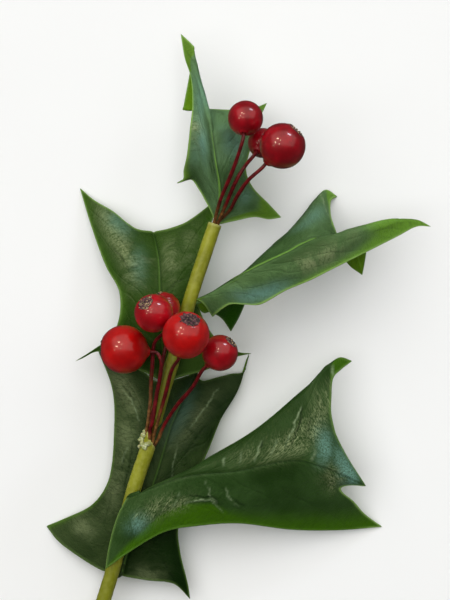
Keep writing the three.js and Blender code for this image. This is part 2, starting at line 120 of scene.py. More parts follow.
# %% Edges of every leaf
LEAVES = {
    "leaf_lower_right": {
        "rests": True,
        "rib": [
            [-24.5, -49.5, 13.9], [-10, -44, 16.8], [3, -42.5, 18], [16, -40, 17.5],
            [30.5, -41.5, 13.5],
        ],
        "tip": [[33.5, -44, 11.5], [35.5, -47, 9]],
        "left": {
            "base": [[-21, -50, 12.6]],
            "side": [
                [-17.5, -51, 11.3], [-13.5, -46.5, 13.2], [-5.5, -40.5, 15.5], [7.5, -32.5, 15.5],
                [19, -23.2, 12.5], [22.8, -19.9, 11], [26.2, -16.2, 9.5], [29, -14.6, 8],
                [32, -15.5, 6.5],
            ],
            "far": [
                [28.5, -36.5, 13.2], [26.6, -29, 12], [26.6, -24.5, 10.8], [27.2, -19.6, 9.3],
                [29.4, -17.4, 8],
            ],
        },
        "right": {
            "base": [[-27, -54.5, 13.6], [-29, -61.5, 12.4]],
            "side": [
                [-30, -67.5, 11.4], [-24.5, -63.5, 12], [-15, -58, 12.5], [-6.5, -56.5, 12.5],
                [3, -56, 11.5], [17, -58, 7.5], [29.5, -58.5, 3.5], [40, -58, 0.4],
            ],
            "far": [[29, -47.5, 10], [32.5, -51, 7], [35.5, -54.5, 3.5]],
        },
    },
    "leaf_lower_left": {
        "rests": True,
        "rib": [
            [-26, -70, 5.4], [-24.5, -64, 6.4], [-18, -47, 8.2], [-14.5, -35.5, 8.2],
            [-11, -22.5, 5.8],
        ],
        "tip": [[-9, -20, 4.5], [-7, -18.5, 3]],
        "left": {
            "base": [
                [-28.5, -69.4, 4.9], [-31.5, -68.5, 4.6], [-37.5, -65, 3.8], [-42.5, -61.5, 2],
            ],
            "side": [
                [-45.5, -58, 0.4], [-41, -56, 2.2], [-33.5, -52, 4.8], [-29.5, -46, 6],
                [-28, -33, 6.2], [-28.5, -23, 5.2], [-32.5, -12.5, 2.5],
            ],
            "far": [[-14.5, -22, 5.6], [-17.5, -21, 5.4], [-22, -17.5, 4.6], [-27.5, -14.5, 3.5]],
        },
        "right": {
            "base": [[-19.5, -71, 6], [-13, -72, 5.3]],
            "side": [
                [-9, -76, 3.5], [-9.5, -72.5, 4.6], [-11.5, -64, 6], [-12, -57.5, 6.6],
                [-9, -48, 7], [-4.5, -38.5, 6.4], [-1, -30, 5.4], [3.5, -22.5, 3.8], [5, -18, 2.5],
                [6, -14, 1.5],
            ],
            "far": [[-6, -21, 4.6], [1.5, -19, 3.6], [4.5, -18.5, 2.8]],
        },
    },
    "leaf_upper_left": {
        "rests": True,
        "rib": [
            [-15, -21, 11.6], [-15.5, -11.5, 12.6], [-16, 0, 13.4], [-16.5, 10, 11.6],
            [-17.6, 17.5, 8.2],
        ],
        "tip": [[-17.9, 17.9, 6.8], [-18.1, 17.2, 5]],
        "left": {
            "base": [[-19, -18.5, 11.2], [-21.5, -17.5, 10.6], [-27, -14.5, 8.8], [-32, -13, 6.8]],
            "side": [
                [-38, -15.5, 4.5], [-32.5, -12, 7], [-28.5, -9, 9], [-26.5, -4.5, 10],
                [-26.5, 2, 10], [-30, 8.5, 7.5], [-34, 19, 3.5], [-37, 28.5, 0.4],
            ],
            "far": [[-22.5, 18, 7.6], [-28.5, 22.5, 5], [-33.5, 25.5, 2.5]],
        },
        "right": {
            "base": [[-12, -19.5, 11.4], [-5, -17.5, 10.6], [2, -14.5, 8.8]],
            "side": [
                [6.5, -13.5, 7.5], [3, -13, 8.8], [-3, -9, 10.8], [-6.5, -2.5, 12], [-7, 2.5, 12],
                [-6, 9.5, 11], [-4, 18, 8], [-1, 26.5, 5],
            ],
            "far": [[-14, 18, 8], [-10, 19.5, 7.5], [-4.5, 23.5, 6]],
        },
    },
    "leaf_upper_right": {
        "rests": True,
        "tip_power": 1.2,
        "tip_ease": 1.15,
        "rib": [
            [-7, 0.3, 17.4], [-3.5, 2, 19.5], [0.5, 4.5, 22], [7, 7.8, 25.5], [15, 11.5, 27],
            [22, 15, 25], [29.5, 16.5, 19.5],
        ],
        "tip": [[34.8, 14, 13], [34.6, 6.5, 9]],
        "left": {
            "base": [
                [-6.6, -2, 14.5], [-5.2, -3.3, 12.5], [-3.8, -3, 11], [-1.9, -3.9, 8.6],
                [-0.5, -5, 6.8], [0.5, -6.4, 5.4],
            ],
            "side": [
                [1.5, -8, 4], [3.6, -4.3, 7], [5.2, -0.5, 10], [7.2, 6, 13.5], [11.5, 13, 16],
                [16, 17, 13.5], [20, 21.5, 9], [24, 26.5, 3.4], [26, 28, 1.5], [28.5, 26.5, 0.5],
            ],
            "far": [[27.5, 16, 18.5], [27, 18.5, 15.5], [26.5, 22, 8.5], [27, 25.5, 2.8]],
        },
        "right": {
            "base": [[-5.7, -0.4, 17.4], [-4.5, -1.8, 16.6]],
            "side": [
                [-3, -4, 15.2], [-2.4, -3.4, 16.4], [-0.6, -2, 18.4], [1.4, -0.9, 19.8],
                [5, -1, 20.8], [8.5, -1, 21.5], [15, 2.5, 23], [21, 5, 23.5], [27, 8, 22],
                [35, 12, 19], [43, 16, 16], [48, 18.5, 14.3], [51.5, 18.5, 13],
            ],
            "far": [[31.5, 17, 18.8], [37.5, 18.7, 18.3], [43.6, 20.2, 16.4], [48, 20.1, 14.4]],
        },
    },
    "leaf_top": {
        "rests": False,
        "tip_power": 1.2,
        "tip_ease": 1,
        "rib": [
            [-2, 19, 14.8], [-1, 26.5, 20], [-2, 33.5, 24], [-3, 40.5, 24.2], [-3.5, 46.5, 20.5],
        ],
        "tip": [[-5.5, 49.5, 14], [-10.5, 48, 11]],
        "left": {
            "tip_width": 0.8,
            "base": [[-3.5, 22.5, 15], [-6.5, 28, 12], [-8.5, 30.5, 9.5]],
            "side": [
                [-12, 29.8, 7.5], [-10.4, 30.6, 9.4], [-10.2, 32.8, 11.3], [-9.3, 36.3, 15.3],
                [-8.5, 43, 18], [-8, 48.5, 17], [-8.5, 56, 14], [-10, 61, 11.5], [-11, 67, 9.5],
            ],
            "far": [[-4, 50.5, 19], [-5, 55, 16.5], [-7.5, 63, 12.5]],
        },
        "right": {
            "base": [[2.5, 20, 14.5], [7.5, 21, 12], [11, 20.5, 10]],
            "side": [
                [14, 21, 8], [11, 24, 11.5], [6.5, 28.5, 16.5], [5, 32.5, 19.5], [6, 37, 19.5],
                [8, 44, 12.5], [10.5, 50, 4],
            ],
            "far": [[1, 47, 18], [6.5, 48, 10]],
        },
    },
}
print("leaves:", ", ".join(LEAVES))

# %% [markdown]
# ## From edges to a sheet
# The sheet is a grid of rows from foot to tip and columns from the right margin, over the
# midrib, to the left margin. Cutting and subdividing a plane by hand would give the same
# topology, but a formula keeps every margin exactly on its measured edge. The last rows are
# drawn out along the tip's own curve, most at the midrib and not at all past the tip's width.

# %% The middle surface of a leaf
ROWS = 200
HALF_COLUMNS = 84
EDGE_PULL = 3
TIP_ROWS = 0.2
TIP_WIDTH = 0.3
TIP_POWER = 1
TIP_EASE = 1.5


def half_sheet(leaf, half, along, across):
    foot, notch = np.array(leaf["rib"][0], float), np.array(leaf["rib"][-1], float)
    near, far = np.array(half["side"][0], float), np.array(half["side"][-1], float)
    rib = curve_through(leaf["rib"])(along)[:, None]
    side = curve_through(half["side"])(along)[:, None]
    u = along[:, None, None]
    v = across[None, :, None]
    base = curve_through([foot, *half["base"], near])(across)[None]
    outer = curve_through([notch, *half["far"], far])(across)[None]
    place = rib * (1 - v) + side * v
    place = place + (base - foot * (1 - v) - near * v) * (1 - u) ** EDGE_PULL
    place = place + (outer - notch * (1 - v) - far * v) * u ** EDGE_PULL
    tip_share = np.clip((along - 1 + TIP_ROWS) / TIP_ROWS, 0, 1)
    drawn = curve_through([notch, *leaf["tip"]])(tip_share) - notch
    width, power = half.get("tip_width", TIP_WIDTH), leaf.get("tip_power", TIP_POWER)
    reach = np.clip(1 - (across / width) ** power, 0, 1) ** leaf.get("tip_ease", TIP_EASE)
    return place + drawn[:, None] * reach[None, :, None]


def leaf_sheet(leaf):
    along = np.linspace(0, 1, ROWS + 1)
    across = np.linspace(0, 1, HALF_COLUMNS + 1)
    right = half_sheet(leaf, leaf["right"], along, across)
    left = half_sheet(leaf, leaf["left"], along, across)
    grid = np.concatenate([right[:, :0:-1], left], axis=1)
    return grid, along, np.linspace(-1, 1, 2 * HALF_COLUMNS + 1)


for leaf_name, leaf in LEAVES.items():
    grid, _, _ = leaf_sheet(leaf)
    print(leaf_name, "has", grid.shape[0], "rows and", grid.shape[1], "columns")

# %% [markdown]
# ## Measures on the sheet
# Veins, rims and colour bands are all placed by how far a point is from the midrib or from the
# margin. These distances are summed along the rows and columns of the grid, in millimetres, so
# a vein has the same width on a wide leaf and on a narrow one.

# %% Distances and normals
def unit(vectors):
    return vectors / np.maximum(np.linalg.norm(vectors, axis=-1, keepdims=True), 1e-9)


def grid_normals(grid):
    along = np.gradient(grid, axis=0)
    across = np.gradient(grid, axis=1)
    return unit(np.cross(along, across))


def summed(steps, axis):
    lead = np.zeros_like(np.take(steps, [0], axis=axis))
    return np.concatenate([lead, np.cumsum(steps, axis=axis)], axis=axis)


def leaf_measures(grid):
    side_steps = np.linalg.norm(np.diff(grid, axis=1), axis=-1)
    row_steps = np.linalg.norm(np.diff(grid, axis=0), axis=-1)
    walked = summed(side_steps, 1)
    from_rib = np.abs(walked - walked[:, HALF_COLUMNS][:, None])
    to_side = np.minimum(walked, walked[:, -1:] - walked)
    climbed = summed(row_steps, 0)
    to_ends = np.minimum(climbed, climbed[-1:] - climbed)
    return {"rib": from_rib, "rim": np.minimum(to_side, to_ends), "length": climbed[-1:]}


for leaf_name, leaf in LEAVES.items():
    measures = leaf_measures(leaf_sheet(leaf)[0])
    print(leaf_name, "is", round(float(measures["length"][0, HALF_COLUMNS]), 1), "mm long")

# %% [markdown]
# ## Creases, veins, painted sheen and painted shade
# The moulding has a sunken midrib and faint side veins, and handling has left it with creases,
# some raised and some sunken. Warm and cool patches of painted sheen stand for the glare of the
# lamps on the gloss, and dark patches are painted shade in broad folds. Each is laid down like a
# pencil stroke: a line through a few points of the leaf, given as shares of its length and half
# width, with a width in millimetres. Positive half widths are on the left, and a third number,
# where there is one, is how strong the stroke is.

# %% Strokes on every leaf
STROKES = {
    "leaf_lower_right": {
        "warm_painted_sheen": [
            [
                [0.46, 0.23, 0.3], [0.55, 0.22, 0.6], [0.63, 0.19], [0.72, 0.22], [0.8, 0.3],
                [0.87, 0.38], [0.9, 0.45, 0.5],
            ],
            [
                [0.68, 0.12], [0.76, 0.16], [0.84, 0.22], [0.9, 0.34], [0.93, 0.45],
                [0.97, 0.66, 1.9],
            ],
            [[0.89, -0.13, 0.9], [0.94, -0.12, 1.2], [0.945, -0.24, 1.5]],
            [[0.86, -0.02, 0.5], [0.93, -0.05, 0.9]],
            [[0.13, -0.56], [0.2, -0.48], [0.27, -0.48], [0.32, -0.44, 0.6]],
        ],
        "cool_painted_sheen": [
            [[0.93, 0.32, 0.6], [0.92, 0.24], [0.9, 0.15], [0.87, 0.07]],
            [[0.09, -0.6], [0.13, -0.56]],
            [[0.97, 0.2, 0.7], [0.955, 0.1, 1.1], [0.95, 0.02, 1.5], [0.955, -0.06, 0.9]],
        ],
        "painted_fold_shade": [
            [[0.3, 0.8, 0.7], [0.5, 0.75], [0.7, 0.8], [0.84, 0.85, 0.7]],
            [[0.5, -0.2, 0.5], [0.65, -0.15, 0.7], [0.8, -0.1, 0.4]],
        ],
        "raised": [
            [[0.8, 0.64, 1.6], [0.79, 0.57, 1.6], [0.77, 0.46, 1.6], [0.72, 0.19, 1.6]],
            [[0.59, 0.48], [0.59, 0.3], [0.58, 0.09]], [[0.41, 0.49], [0.43, 0.17]],
            [[0.86, 0.17], [0.82, 0.02]], [[0.46, -0.28], [0.47, -0.49], [0.5, -0.65]],
            [[0.37, -0.12], [0.39, -0.28], [0.4, -0.46], [0.42, -0.56]],
            [[0.27, -0.27], [0.26, -0.52]], [[0.09, -0.46], [0.1, -0.4]],
            [[0.68, 0.36, 0.7], [0.65, 0.12, 0.7]], [[0.5, 0.42, 0.6], [0.51, 0.12, 0.6]],
            [[0.955, 0.88, 1.8], [0.97, 0.84, 1.8], [1, 0.77, 1.8]],
            [
                [0.3, -0.53, 1.6], [0.33, -0.49, 1.6], [0.36, -0.48, 1.6], [0.4, -0.52, 1.6],
                [0.44, -0.77, 1.2],
            ],
        ],
        "sunken": [
            [[0.815, 0.6, 1.3], [0.805, 0.44, 1.3], [0.735, 0.17, 1.3]],
            [[0.31, -0.38], [0.36, -0.44], [0.41, -0.47], [0.43, -0.6]],
            [[0.48, -0.49], [0.52, -0.65]], [[0.6, 0.46], [0.6, 0.3]],
            [[0.87, 0.45, 0.7], [0.84, 0.25, 0.7]],
        ],
    },
    "leaf_lower_left": {
        "warm_painted_sheen": [
            [[0.92, 0.9, 0.3], [0.86, 0.82, 0.45], [0.78, 0.65, 0.3], [0.74, 0.56, 0.2]],
            [[0.54, 0.85, 0.15], [0.4, 0.85, 0.25], [0.28, 0.72, 0.25]],
            [[0.17, 0.95, 0.2], [0.13, 0.75, 0.4], [0.12, 0.5, 0.2]],
            [[0.92, -0.5, 0.2], [0.78, -0.3, 0.25], [0.66, -0.1, 0.15]],
            [[0.02, -0.15, 0.3], [0.03, -0.5, 0.3]],
            [[0.7, 0.78, 0.3], [0.62, 0.76, 0.35], [0.55, 0.7, 0.2]],
        ],
        "cool_painted_sheen": [[[0.95, -0.1, 0.2], [0.84, -0.1, 0.25], [0.72, 0.02, 0.15]]],
        "painted_fold_shade": [
            [[0.97, -0.85, 0.5], [0.88, -0.72], [0.76, -0.55], [0.66, -0.4], [0.56, -0.5, 0.7]],
            [[0.92, 0.4, 0.6], [0.8, 0.4, 0.6], [0.7, 0.35, 0.5], [0.55, 0.4, 0.3]],
            [[0.66, -0.16, 0.5], [0.56, -0.28], [0.44, -0.3, 0.7]],
            [[0.16, -0.35, 0.9], [0.11, -0.42], [0.06, -0.6, 0.9]],
        ],
        "raised": [
            [[0.58, 0.69, 0.6], [0.5, 0.77, 0.6]], [[0.94, -0.51], [0.85, -0.43], [0.76, -0.35]],
            [[0.84, 0.84, 0.8], [0.78, 0.62, 0.8], [0.73, 0.52, 0.8]],
            [[0.7, -0.2, 0.6], [0.5, -0.35, 0.6]],
        ],
        "sunken": [
            [[0.55, 0.72], [0.46, 0.77]],
            [[0.16, -0.31], [0.12, -0.52], [0.05, -0.65], [0.01, -0.72]],
            [[0.74, -0.65], [0.63, -0.44]], [[0.86, 0.8], [0.8, 0.62]], [[0.62, 0.6], [0.4, 0.62]],
        ],
    },
    "leaf_upper_left": {
        "warm_painted_sheen": [
            [
                [0.98, 0.73, 0.8], [0.88, 0.67, 0.7], [0.78, 0.56, 0.7], [0.66, 0.46, 0.7],
                [0.53, 0.57, 0.6],
            ],
            [[0.89, -0.17, 0.5], [0.76, -0.23, 0.5], [0.62, -0.25, 0.4]],
            [[0.9, -0.6, 0.3], [0.7, -0.5, 0.3]],
        ],
        "cool_painted_sheen": [
            [[0.97, 0.6, 0.4], [0.93, 0.51, 0.45], [0.9, 0.36, 0.3]],
            [[0.84, 0.28, 0.2], [0.73, 0.3, 0.35], [0.6, 0.35, 0.3]],
        ],
        "painted_fold_shade": [
            [[0.86, 0.12, 0.8], [0.72, 0.12, 1.1], [0.5, 0.1, 0.8]],
            [[0.94, 0.88, 0.8], [0.82, 0.87], [0.6, 0.8, 0.6], [0.4, 0.7, 0.4]],
            [[0.86, -0.07, 0.7], [0.72, -0.1], [0.55, -0.08, 0.7]],
            [[0.8, -0.5, 0.7], [0.72, -0.6, 0.8], [0.6, -0.6, 0.6]],
        ],
        "raised": [],
        "sunken": [
            [[0.74, 0.72, 0.7], [0.7, 0.62, 0.7], [0.64, 0.51, 0.7]],
            [[0.88, 0.28, 0.4], [0.81, 0.41, 0.4]], [[0.64, 0.51, 0.5], [0.72, 0.28, 0.5]],
            [[0.57, -0.1, 0.7], [0.6, -0.35, 0.6], [0.59, -0.7, 0.6]],
            [[0.83, -0.07, 0.4], [0.87, -0.3, 0.4]],
        ],
    },
    "leaf_upper_right": {
        "warm_painted_sheen": [
            [[0.5, -0.45, 0.6], [0.54, -0.54], [0.62, -0.6], [0.7, -0.66, 0.5]],
            [[0.84, -0.3, 0.4], [0.9, -0.1, 0.4]],
        ],
        "cool_painted_sheen": [
            [[0.16, -0.5, 0.6], [0.24, -0.65], [0.32, -0.8], [0.38, -0.88, 0.6]],
            [[0.96, 0.62, 0.5], [0.88, 0.5, 0.6], [0.76, 0.42, 0.4], [0.66, 0.5, 0.3]],
        ],
        "painted_fold_shade": [
            [[0.4, 0.1, 0.5], [0.55, 0.12, 0.8], [0.66, 0.14, 0.9], [0.72, 0.1, 0.6]],
            [[0.4, -0.76, 0.3], [0.5, -0.8, 0.5], [0.6, -0.82, 0.5], [0.68, -0.8, 0.3]],
            [[0.46, -0.1, 0.8], [0.6, -0.16, 1.2], [0.74, -0.24, 1.1], [0.86, -0.4, 0.5]],
        ],
        "raised": [[[0.93, 0.9, 1.6], [0.95, 0.77, 1.6], [0.965, 0.6, 1.4], [0.985, 0.4, 1]]],
        "sunken": [[[0.47, -0.46, 0.35], [0.56, -0.23, 0.35]]],
    },
    "leaf_top": {
        "warm_painted_sheen": [[[0.49, 0.85], [0.37, 0.83]]],
        "cool_painted_sheen": [
            [[0.28, 0.55, 0.4], [0.44, 0.6, 0.8], [0.56, 0.66, 0.5]],
            [[0.76, -0.5, 0.4], [0.62, -0.5, 0.7], [0.5, -0.55, 0.4]],
            [[0.86, 0.62, 0.5], [0.71, 0.62, 0.6], [0.47, 0.69, 0.4], [0.22, 0.83, 0.5]],
            [[0.81, -0.2, 0.5], [0.68, -0.33, 0.6], [0.59, -0.23, 0.4]],
            [[0.28, -0.72, 0.7], [0.17, -0.43, 0.6]],
        ],
        "painted_fold_shade": [
            [[0.75, 0.25, 0.5], [0.55, 0.25, 0.7], [0.4, 0.26, 0.8], [0.25, 0.22, 0.6]],
            [[0.55, -0.1, 0.5], [0.4, -0.12, 0.7], [0.25, -0.15, 0.6]],
            [[0.1, -0.4, 0.5], [0.13, -0.65, 0.7], [0.16, -0.8, 0.5]],
        ],
        "raised": [],
        "sunken": [
            [[0.39, 0.38, 0.7], [0.33, 0.23, 0.7]],
            [[0.62, 0.3, 0.8], [0.45, 0.2, 0.8], [0.3, 0.12, 0.6]],
        ],
    },
}
print("strokes in all:", sum(len(lines) for kinds in STROKES.values() for lines in kinds.values()))

# %% [markdown]
# ## Strokes become masks
# Each stroke is followed over the sheet, shaken a little so that it isn't ruler straight, and
# every vertex takes its nearness to the line as a mask from 0 to 1. Painting with a brush would
# be quicker for one leaf, but these strokes stay sharp at any density of the grid. Blender
# seeds the shaking from the clock, so a fixed seed makes every run give the same leaves.

# %% Masks of the strokes
STROKE_WIDTHS = {
    "warm_painted_sheen": 2.3, "cool_painted_sheen": 2.0, "painted_fold_shade": 1.6, "raised": 0.21, "sunken": 0.24,
}
STROKE_WOBBLE = 0.45
STROKE_SEED = 1795404522
WOBBLE_RATE = 0.7
STROKE_SAMPLES = 60
STROKE_END = 0.35
noise.seed_set(STROKE_SEED)


def falloff(distance, width):
    return np.exp(-(distance / width) ** 2)


def smooth_step(value):
    value = np.clip(value, 0, 1)
    return value * value * (3 - 2 * value)


def nearest(share, count):
    return np.clip(np.round(share * (count - 1)), 0, count - 1).astype(int)


def on_grid(grid, along_share, across_share):
    rows, columns = grid.shape[:2]
    return grid[nearest(along_share, rows), nearest((across_share + 1) / 2, columns)]


def stroke_mask(grid, strokes, width):
    mask = np.zeros(grid.shape[:2])
    share = np.linspace(0, 1, STROKE_SAMPLES)
    for stroke in strokes:
        stops = np.array([[*stop, 1.0][:3] for stop in stroke])
        place = np.linspace(0, 1, len(stops))
        along, across, strength = (np.interp(share, place, column) for column in stops.T)
        line = on_grid(grid, along, across)
        wobble = [noise.noise_vector(Vector(point * WOBBLE_RATE)) for point in line]
        line = line + STROKE_WOBBLE * np.array(wobble)
        gaps = np.linalg.norm(grid[:, :, None] - line, axis=-1)
        taper = (STROKE_END + (1 - STROKE_END) * np.sin(np.pi * share) ** 0.6) * strength
        near = falloff(np.min(gaps, axis=-1), width) * taper[np.argmin(gaps, axis=-1)]
        mask = np.maximum(mask, near)
    return mask


print("kinds of stroke:", ", ".join(STROKE_WIDTHS))

# %% [markdown]
# ## Veins and unevenness
# Side veins leave the midrib at a slant and bend towards the tip, a little out of step on the
# two halves. Together with the groove of the midrib, the bead along the margin, the creases and
# a slow unevenness they are added up as one height, which moves the skins of the leaf. A bump
# in the finish alone would vanish in the outline and in the reflections seen from the side.

# %% Vein pattern and height
VEIN_STARTS = [0.08, 0.21, 0.36, 0.5, 0.66]
VEIN_SLANT = 0.16
VEIN_BEND = 0.1
VEIN_WAVE = 0.03
VEIN_STAGGER = 0.035
VEIN_CLOSENESS = 0.9
BULGE = {"leaf_upper_right": 0.8, "leaf_lower_right": 0.35, "leaf_upper_left": 0.25}
SMALL_BULGE = 0.15
VEIN_HEIGHT, VEIN_WIDTH = -0.1, 0.35
GROOVE_HEIGHT, GROOVE_WIDTH = -0.3, 0.45
BEAD_HEIGHT, BEAD_WIDTH = 0.14, 0.4
RAISED_HEIGHT, SUNKEN_HEIGHT = 0.15, -0.2
WAVE_HEIGHT, WAVE_SIZE = 0.4, 12
RIPPLE_HEIGHT, RIPPLE_SIZE = 0.11, 3.4


def vein_distance(along, across, length):
    u, v = along[:, None], across[None]
    gaps = []
    for i, start in enumerate(VEIN_STARTS):
        shift = VEIN_WAVE * np.sin(9 * v + 2 * i) + VEIN_STAGGER * (v > 0)
        path = start + shift + VEIN_SLANT * np.abs(v) + VEIN_BEND * v ** 2
        gaps.append(np.abs(u - path))
    return np.min(gaps, axis=0) * length * VEIN_CLOSENESS


def noise_field(grid, size):
    return np.array([[noise.noise(Vector(place / size)) for place in row] for row in grid])


def leaf_height(name, grid, across, measures, veins, strokes):
    rim, rib = measures["rim"], measures["rib"]
    v = np.abs(across)[None]
    bulge = BULGE.get(name, SMALL_BULGE) * 4 * v * (1 - v) * smooth_step(rim / 8)
    fade = np.clip(rim / 3, 0, 1) * np.clip(rib / 1.5, 0, 1)
    lines = VEIN_HEIGHT * falloff(veins, VEIN_WIDTH) * fade
    lines = lines + RAISED_HEIGHT * strokes["raised"] + SUNKEN_HEIGHT * strokes["sunken"]
    groove = GROOVE_HEIGHT * falloff(rib, GROOVE_WIDTH)
    bead = BEAD_HEIGHT * falloff(rim, BEAD_WIDTH)
    waves, ripples = noise_field(grid, WAVE_SIZE), noise_field(grid, RIPPLE_SIZE)
    soft = (WAVE_HEIGHT * waves + RIPPLE_HEIGHT * ripples) * np.clip(rim / 4, 0, 1)
    return bulge + lines + groove + bead + soft


print("side veins on each half:", len(VEIN_STARTS))

# %% [markdown]
# ## A closed leaf mesh
# The plastic is half a millimetre thick. The upper and lower skins are the middle surface moved
# along its normals, and a row of vertices between them rounds the cut edge. A Solidify modifier
# would be shorter, but it can't thin the rim or carry the measures that the finish needs.
# A leaf that rests on the table is bent down, more the further it is from its foot, until its
# lowest spine touches.

# %% Grids and their faces
def numbered(rows, columns):
    return np.arange(rows * columns).reshape(rows, columns)


def border(index):
    return np.concatenate([index[0], index[1:, -1], index[-1, -2::-1], index[-2:0:-1, 0]])


def grid_faces(index):
    corners = [index[:-1, :-1], index[1:, :-1], index[1:, 1:], index[:-1, 1:]]
    return np.stack(corners, axis=-1).reshape(-1, 4)


def ring_faces(index):
    after = np.roll(index, -1, axis=1)
    corners = [index[:-1], index[1:], after[1:], after[:-1]]
    return [*np.stack(corners, axis=-1).reshape(-1, 4)]


def strip_faces(first, second):
    return np.stack([first, np.roll(first, -1), np.roll(second, -1), second], axis=-1)


print("a 4 by 5 grid has a border of", len(border(numbered(4, 5))), "vertices")

# %% Skins, rim and resting
LEAF_THICKNESS = 0.5
RIM_THINNING = 0.35
THIN_WIDTH = 0.6
RIM_ROUNDING = 0.35
REST_ROUNDS = 5


def leaf_skins(grid, height, to_rim):
    index = numbered(*grid.shape[:2])
    normals = grid_normals(grid)
    half = LEAF_THICKNESS / 2 * (1 - RIM_THINNING * falloff(to_rim, THIN_WIDTH))
    upper = (grid + normals * (height + half)[..., None]).reshape(-1, 3)
    lower = (grid + normals * (height - half)[..., None]).reshape(-1, 3)
    loop, inner = border(index), border(np.pad(index[1:-1, 1:-1], 1, mode="edge"))
    middle = (upper + lower) / 2
    outward = unit(middle[loop] - middle[inner])
    edge = middle[loop] + outward * LEAF_THICKNESS * RIM_ROUNDING
    rim = np.arange(len(loop)) + 2 * index.size
    faces = [*grid_faces(index), *(grid_faces(index)[:, ::-1] + index.size)]
    faces += [*strip_faces(loop, rim), *strip_faces(rim, loop + index.size)]
    return np.vstack([upper, lower, edge]), faces, len(loop)


def let_down(places, foot):
    reach = np.linalg.norm(places.max(axis=0) - places.min(axis=0))
    for _ in range(REST_ROUNDS):
        share = (np.linalg.norm(places - foot, axis=1) / reach) ** 2
        lowest = np.argmin(places[:, 2])
        places[:, 2] -= places[lowest, 2] / share[lowest] * share
    return places


print("thickness at the rim:", round(LEAF_THICKNESS * (1 - RIM_THINNING), 2), "mm")

# %% [markdown]
# ## Meshes that remember measures
# Every piece becomes a mesh whose vertices carry named numbers, such as the distance from a
# rim, for the finish to read. Vertex groups could hold them too, but only from 0 to 1. A second
# helper says which CAD solid the piece stands for.

# %% Meshes with measures
def linked(name, data):
    thing = bpy.data.objects.new(name, data)
    bpy.context.scene.collection.objects.link(thing)
    return thing


def new_mesh(name, places, faces, measures):
    mesh = bpy.data.meshes.new(name)
    mesh.from_pydata(to_frame(places).tolist(), [], [list(map(int, face)) for face in faces])
    for measure, values in measures.items():
        layer = mesh.attributes.new(measure, "FLOAT", "POINT")
        layer.data.foreach_set("value", np.asarray(values, np.float32).ravel())
    mesh.polygons.foreach_set("use_smooth", np.full(len(mesh.polygons), True))
    mesh.validate()
    return linked(name, mesh)


def stands_for(piece, node, finish):
    piece.data.materials.append(finish)
    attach(piece, "root")
    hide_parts(node)
    return piece


print("pieces will be linked to", bpy.context.scene.collection.name)

# %% [markdown]
# ## Rods along a curve
# Wires and stems are round rods swept along a curve. A curve object with a bevel gives the same
# rod, but here the radius changes along the way and each ring keeps a measure of how far it
# is from the foot, which colours the wire. The ring's frame is carried along the curve without
# twisting.

# %% Sweep rings along a curve
def turn(sides):
    return np.linspace(0, 2 * np.pi, sides, endpoint=False)


def carried_frames(line):
    ways = unit(np.gradient(line, axis=0))
    right = unit(np.cross(ways[0], [0.0, 0.0, 1.0]))
    frames = []
    for way in ways:
        right = unit(right - way * (right @ way))
        frames.append((right, np.cross(right, way)))
    return np.array(frames)


def sweep(points, radius_at, sides, steps):
    curve = curve_through(points)
    along = np.linspace(0, 1, steps + 1)
    line = curve(along)
    frames = carried_frames(line)
    angles = turn(sides)[None, :, None]
    ring = np.cos(angles) * frames[:, :1] + np.sin(angles) * frames[:, 1:]
    radii = np.array([radius_at(share) for share in along])
    places = line[:, None] + ring * radii[:, None, None]
    index = numbered(steps + 1, sides)
    faces = [*ring_faces(index), index[0], index[-1][::-1]]
    travelled = np.repeat(along * curve.length, sides)
    return places.reshape(-1, 3), faces, travelled, curve.length


_, rod_faces, _, rod_length = sweep([[0, 0, 0], [0, 5, 0], [0, 10, 2]], lambda share: 0.5, 8, 10)
print("a test rod has", len(rod_faces), "faces and is", round(rod_length, 1), "mm long")

# %% [markdown]
# ## Where the leaf colour changes
# The moulding is dark green on top, with a paler line along the margin, and bright yellow-green
# underneath. Some margins are bright on top as well, in a band that is wider in one place than
# in another. Each table gives stops at shares of the leaf's length, as a painter would mask
# them: for a band its width and softness, for a half its tone, for a rim how pale it is, and
# for the line beside the midrib how pale and how wide.

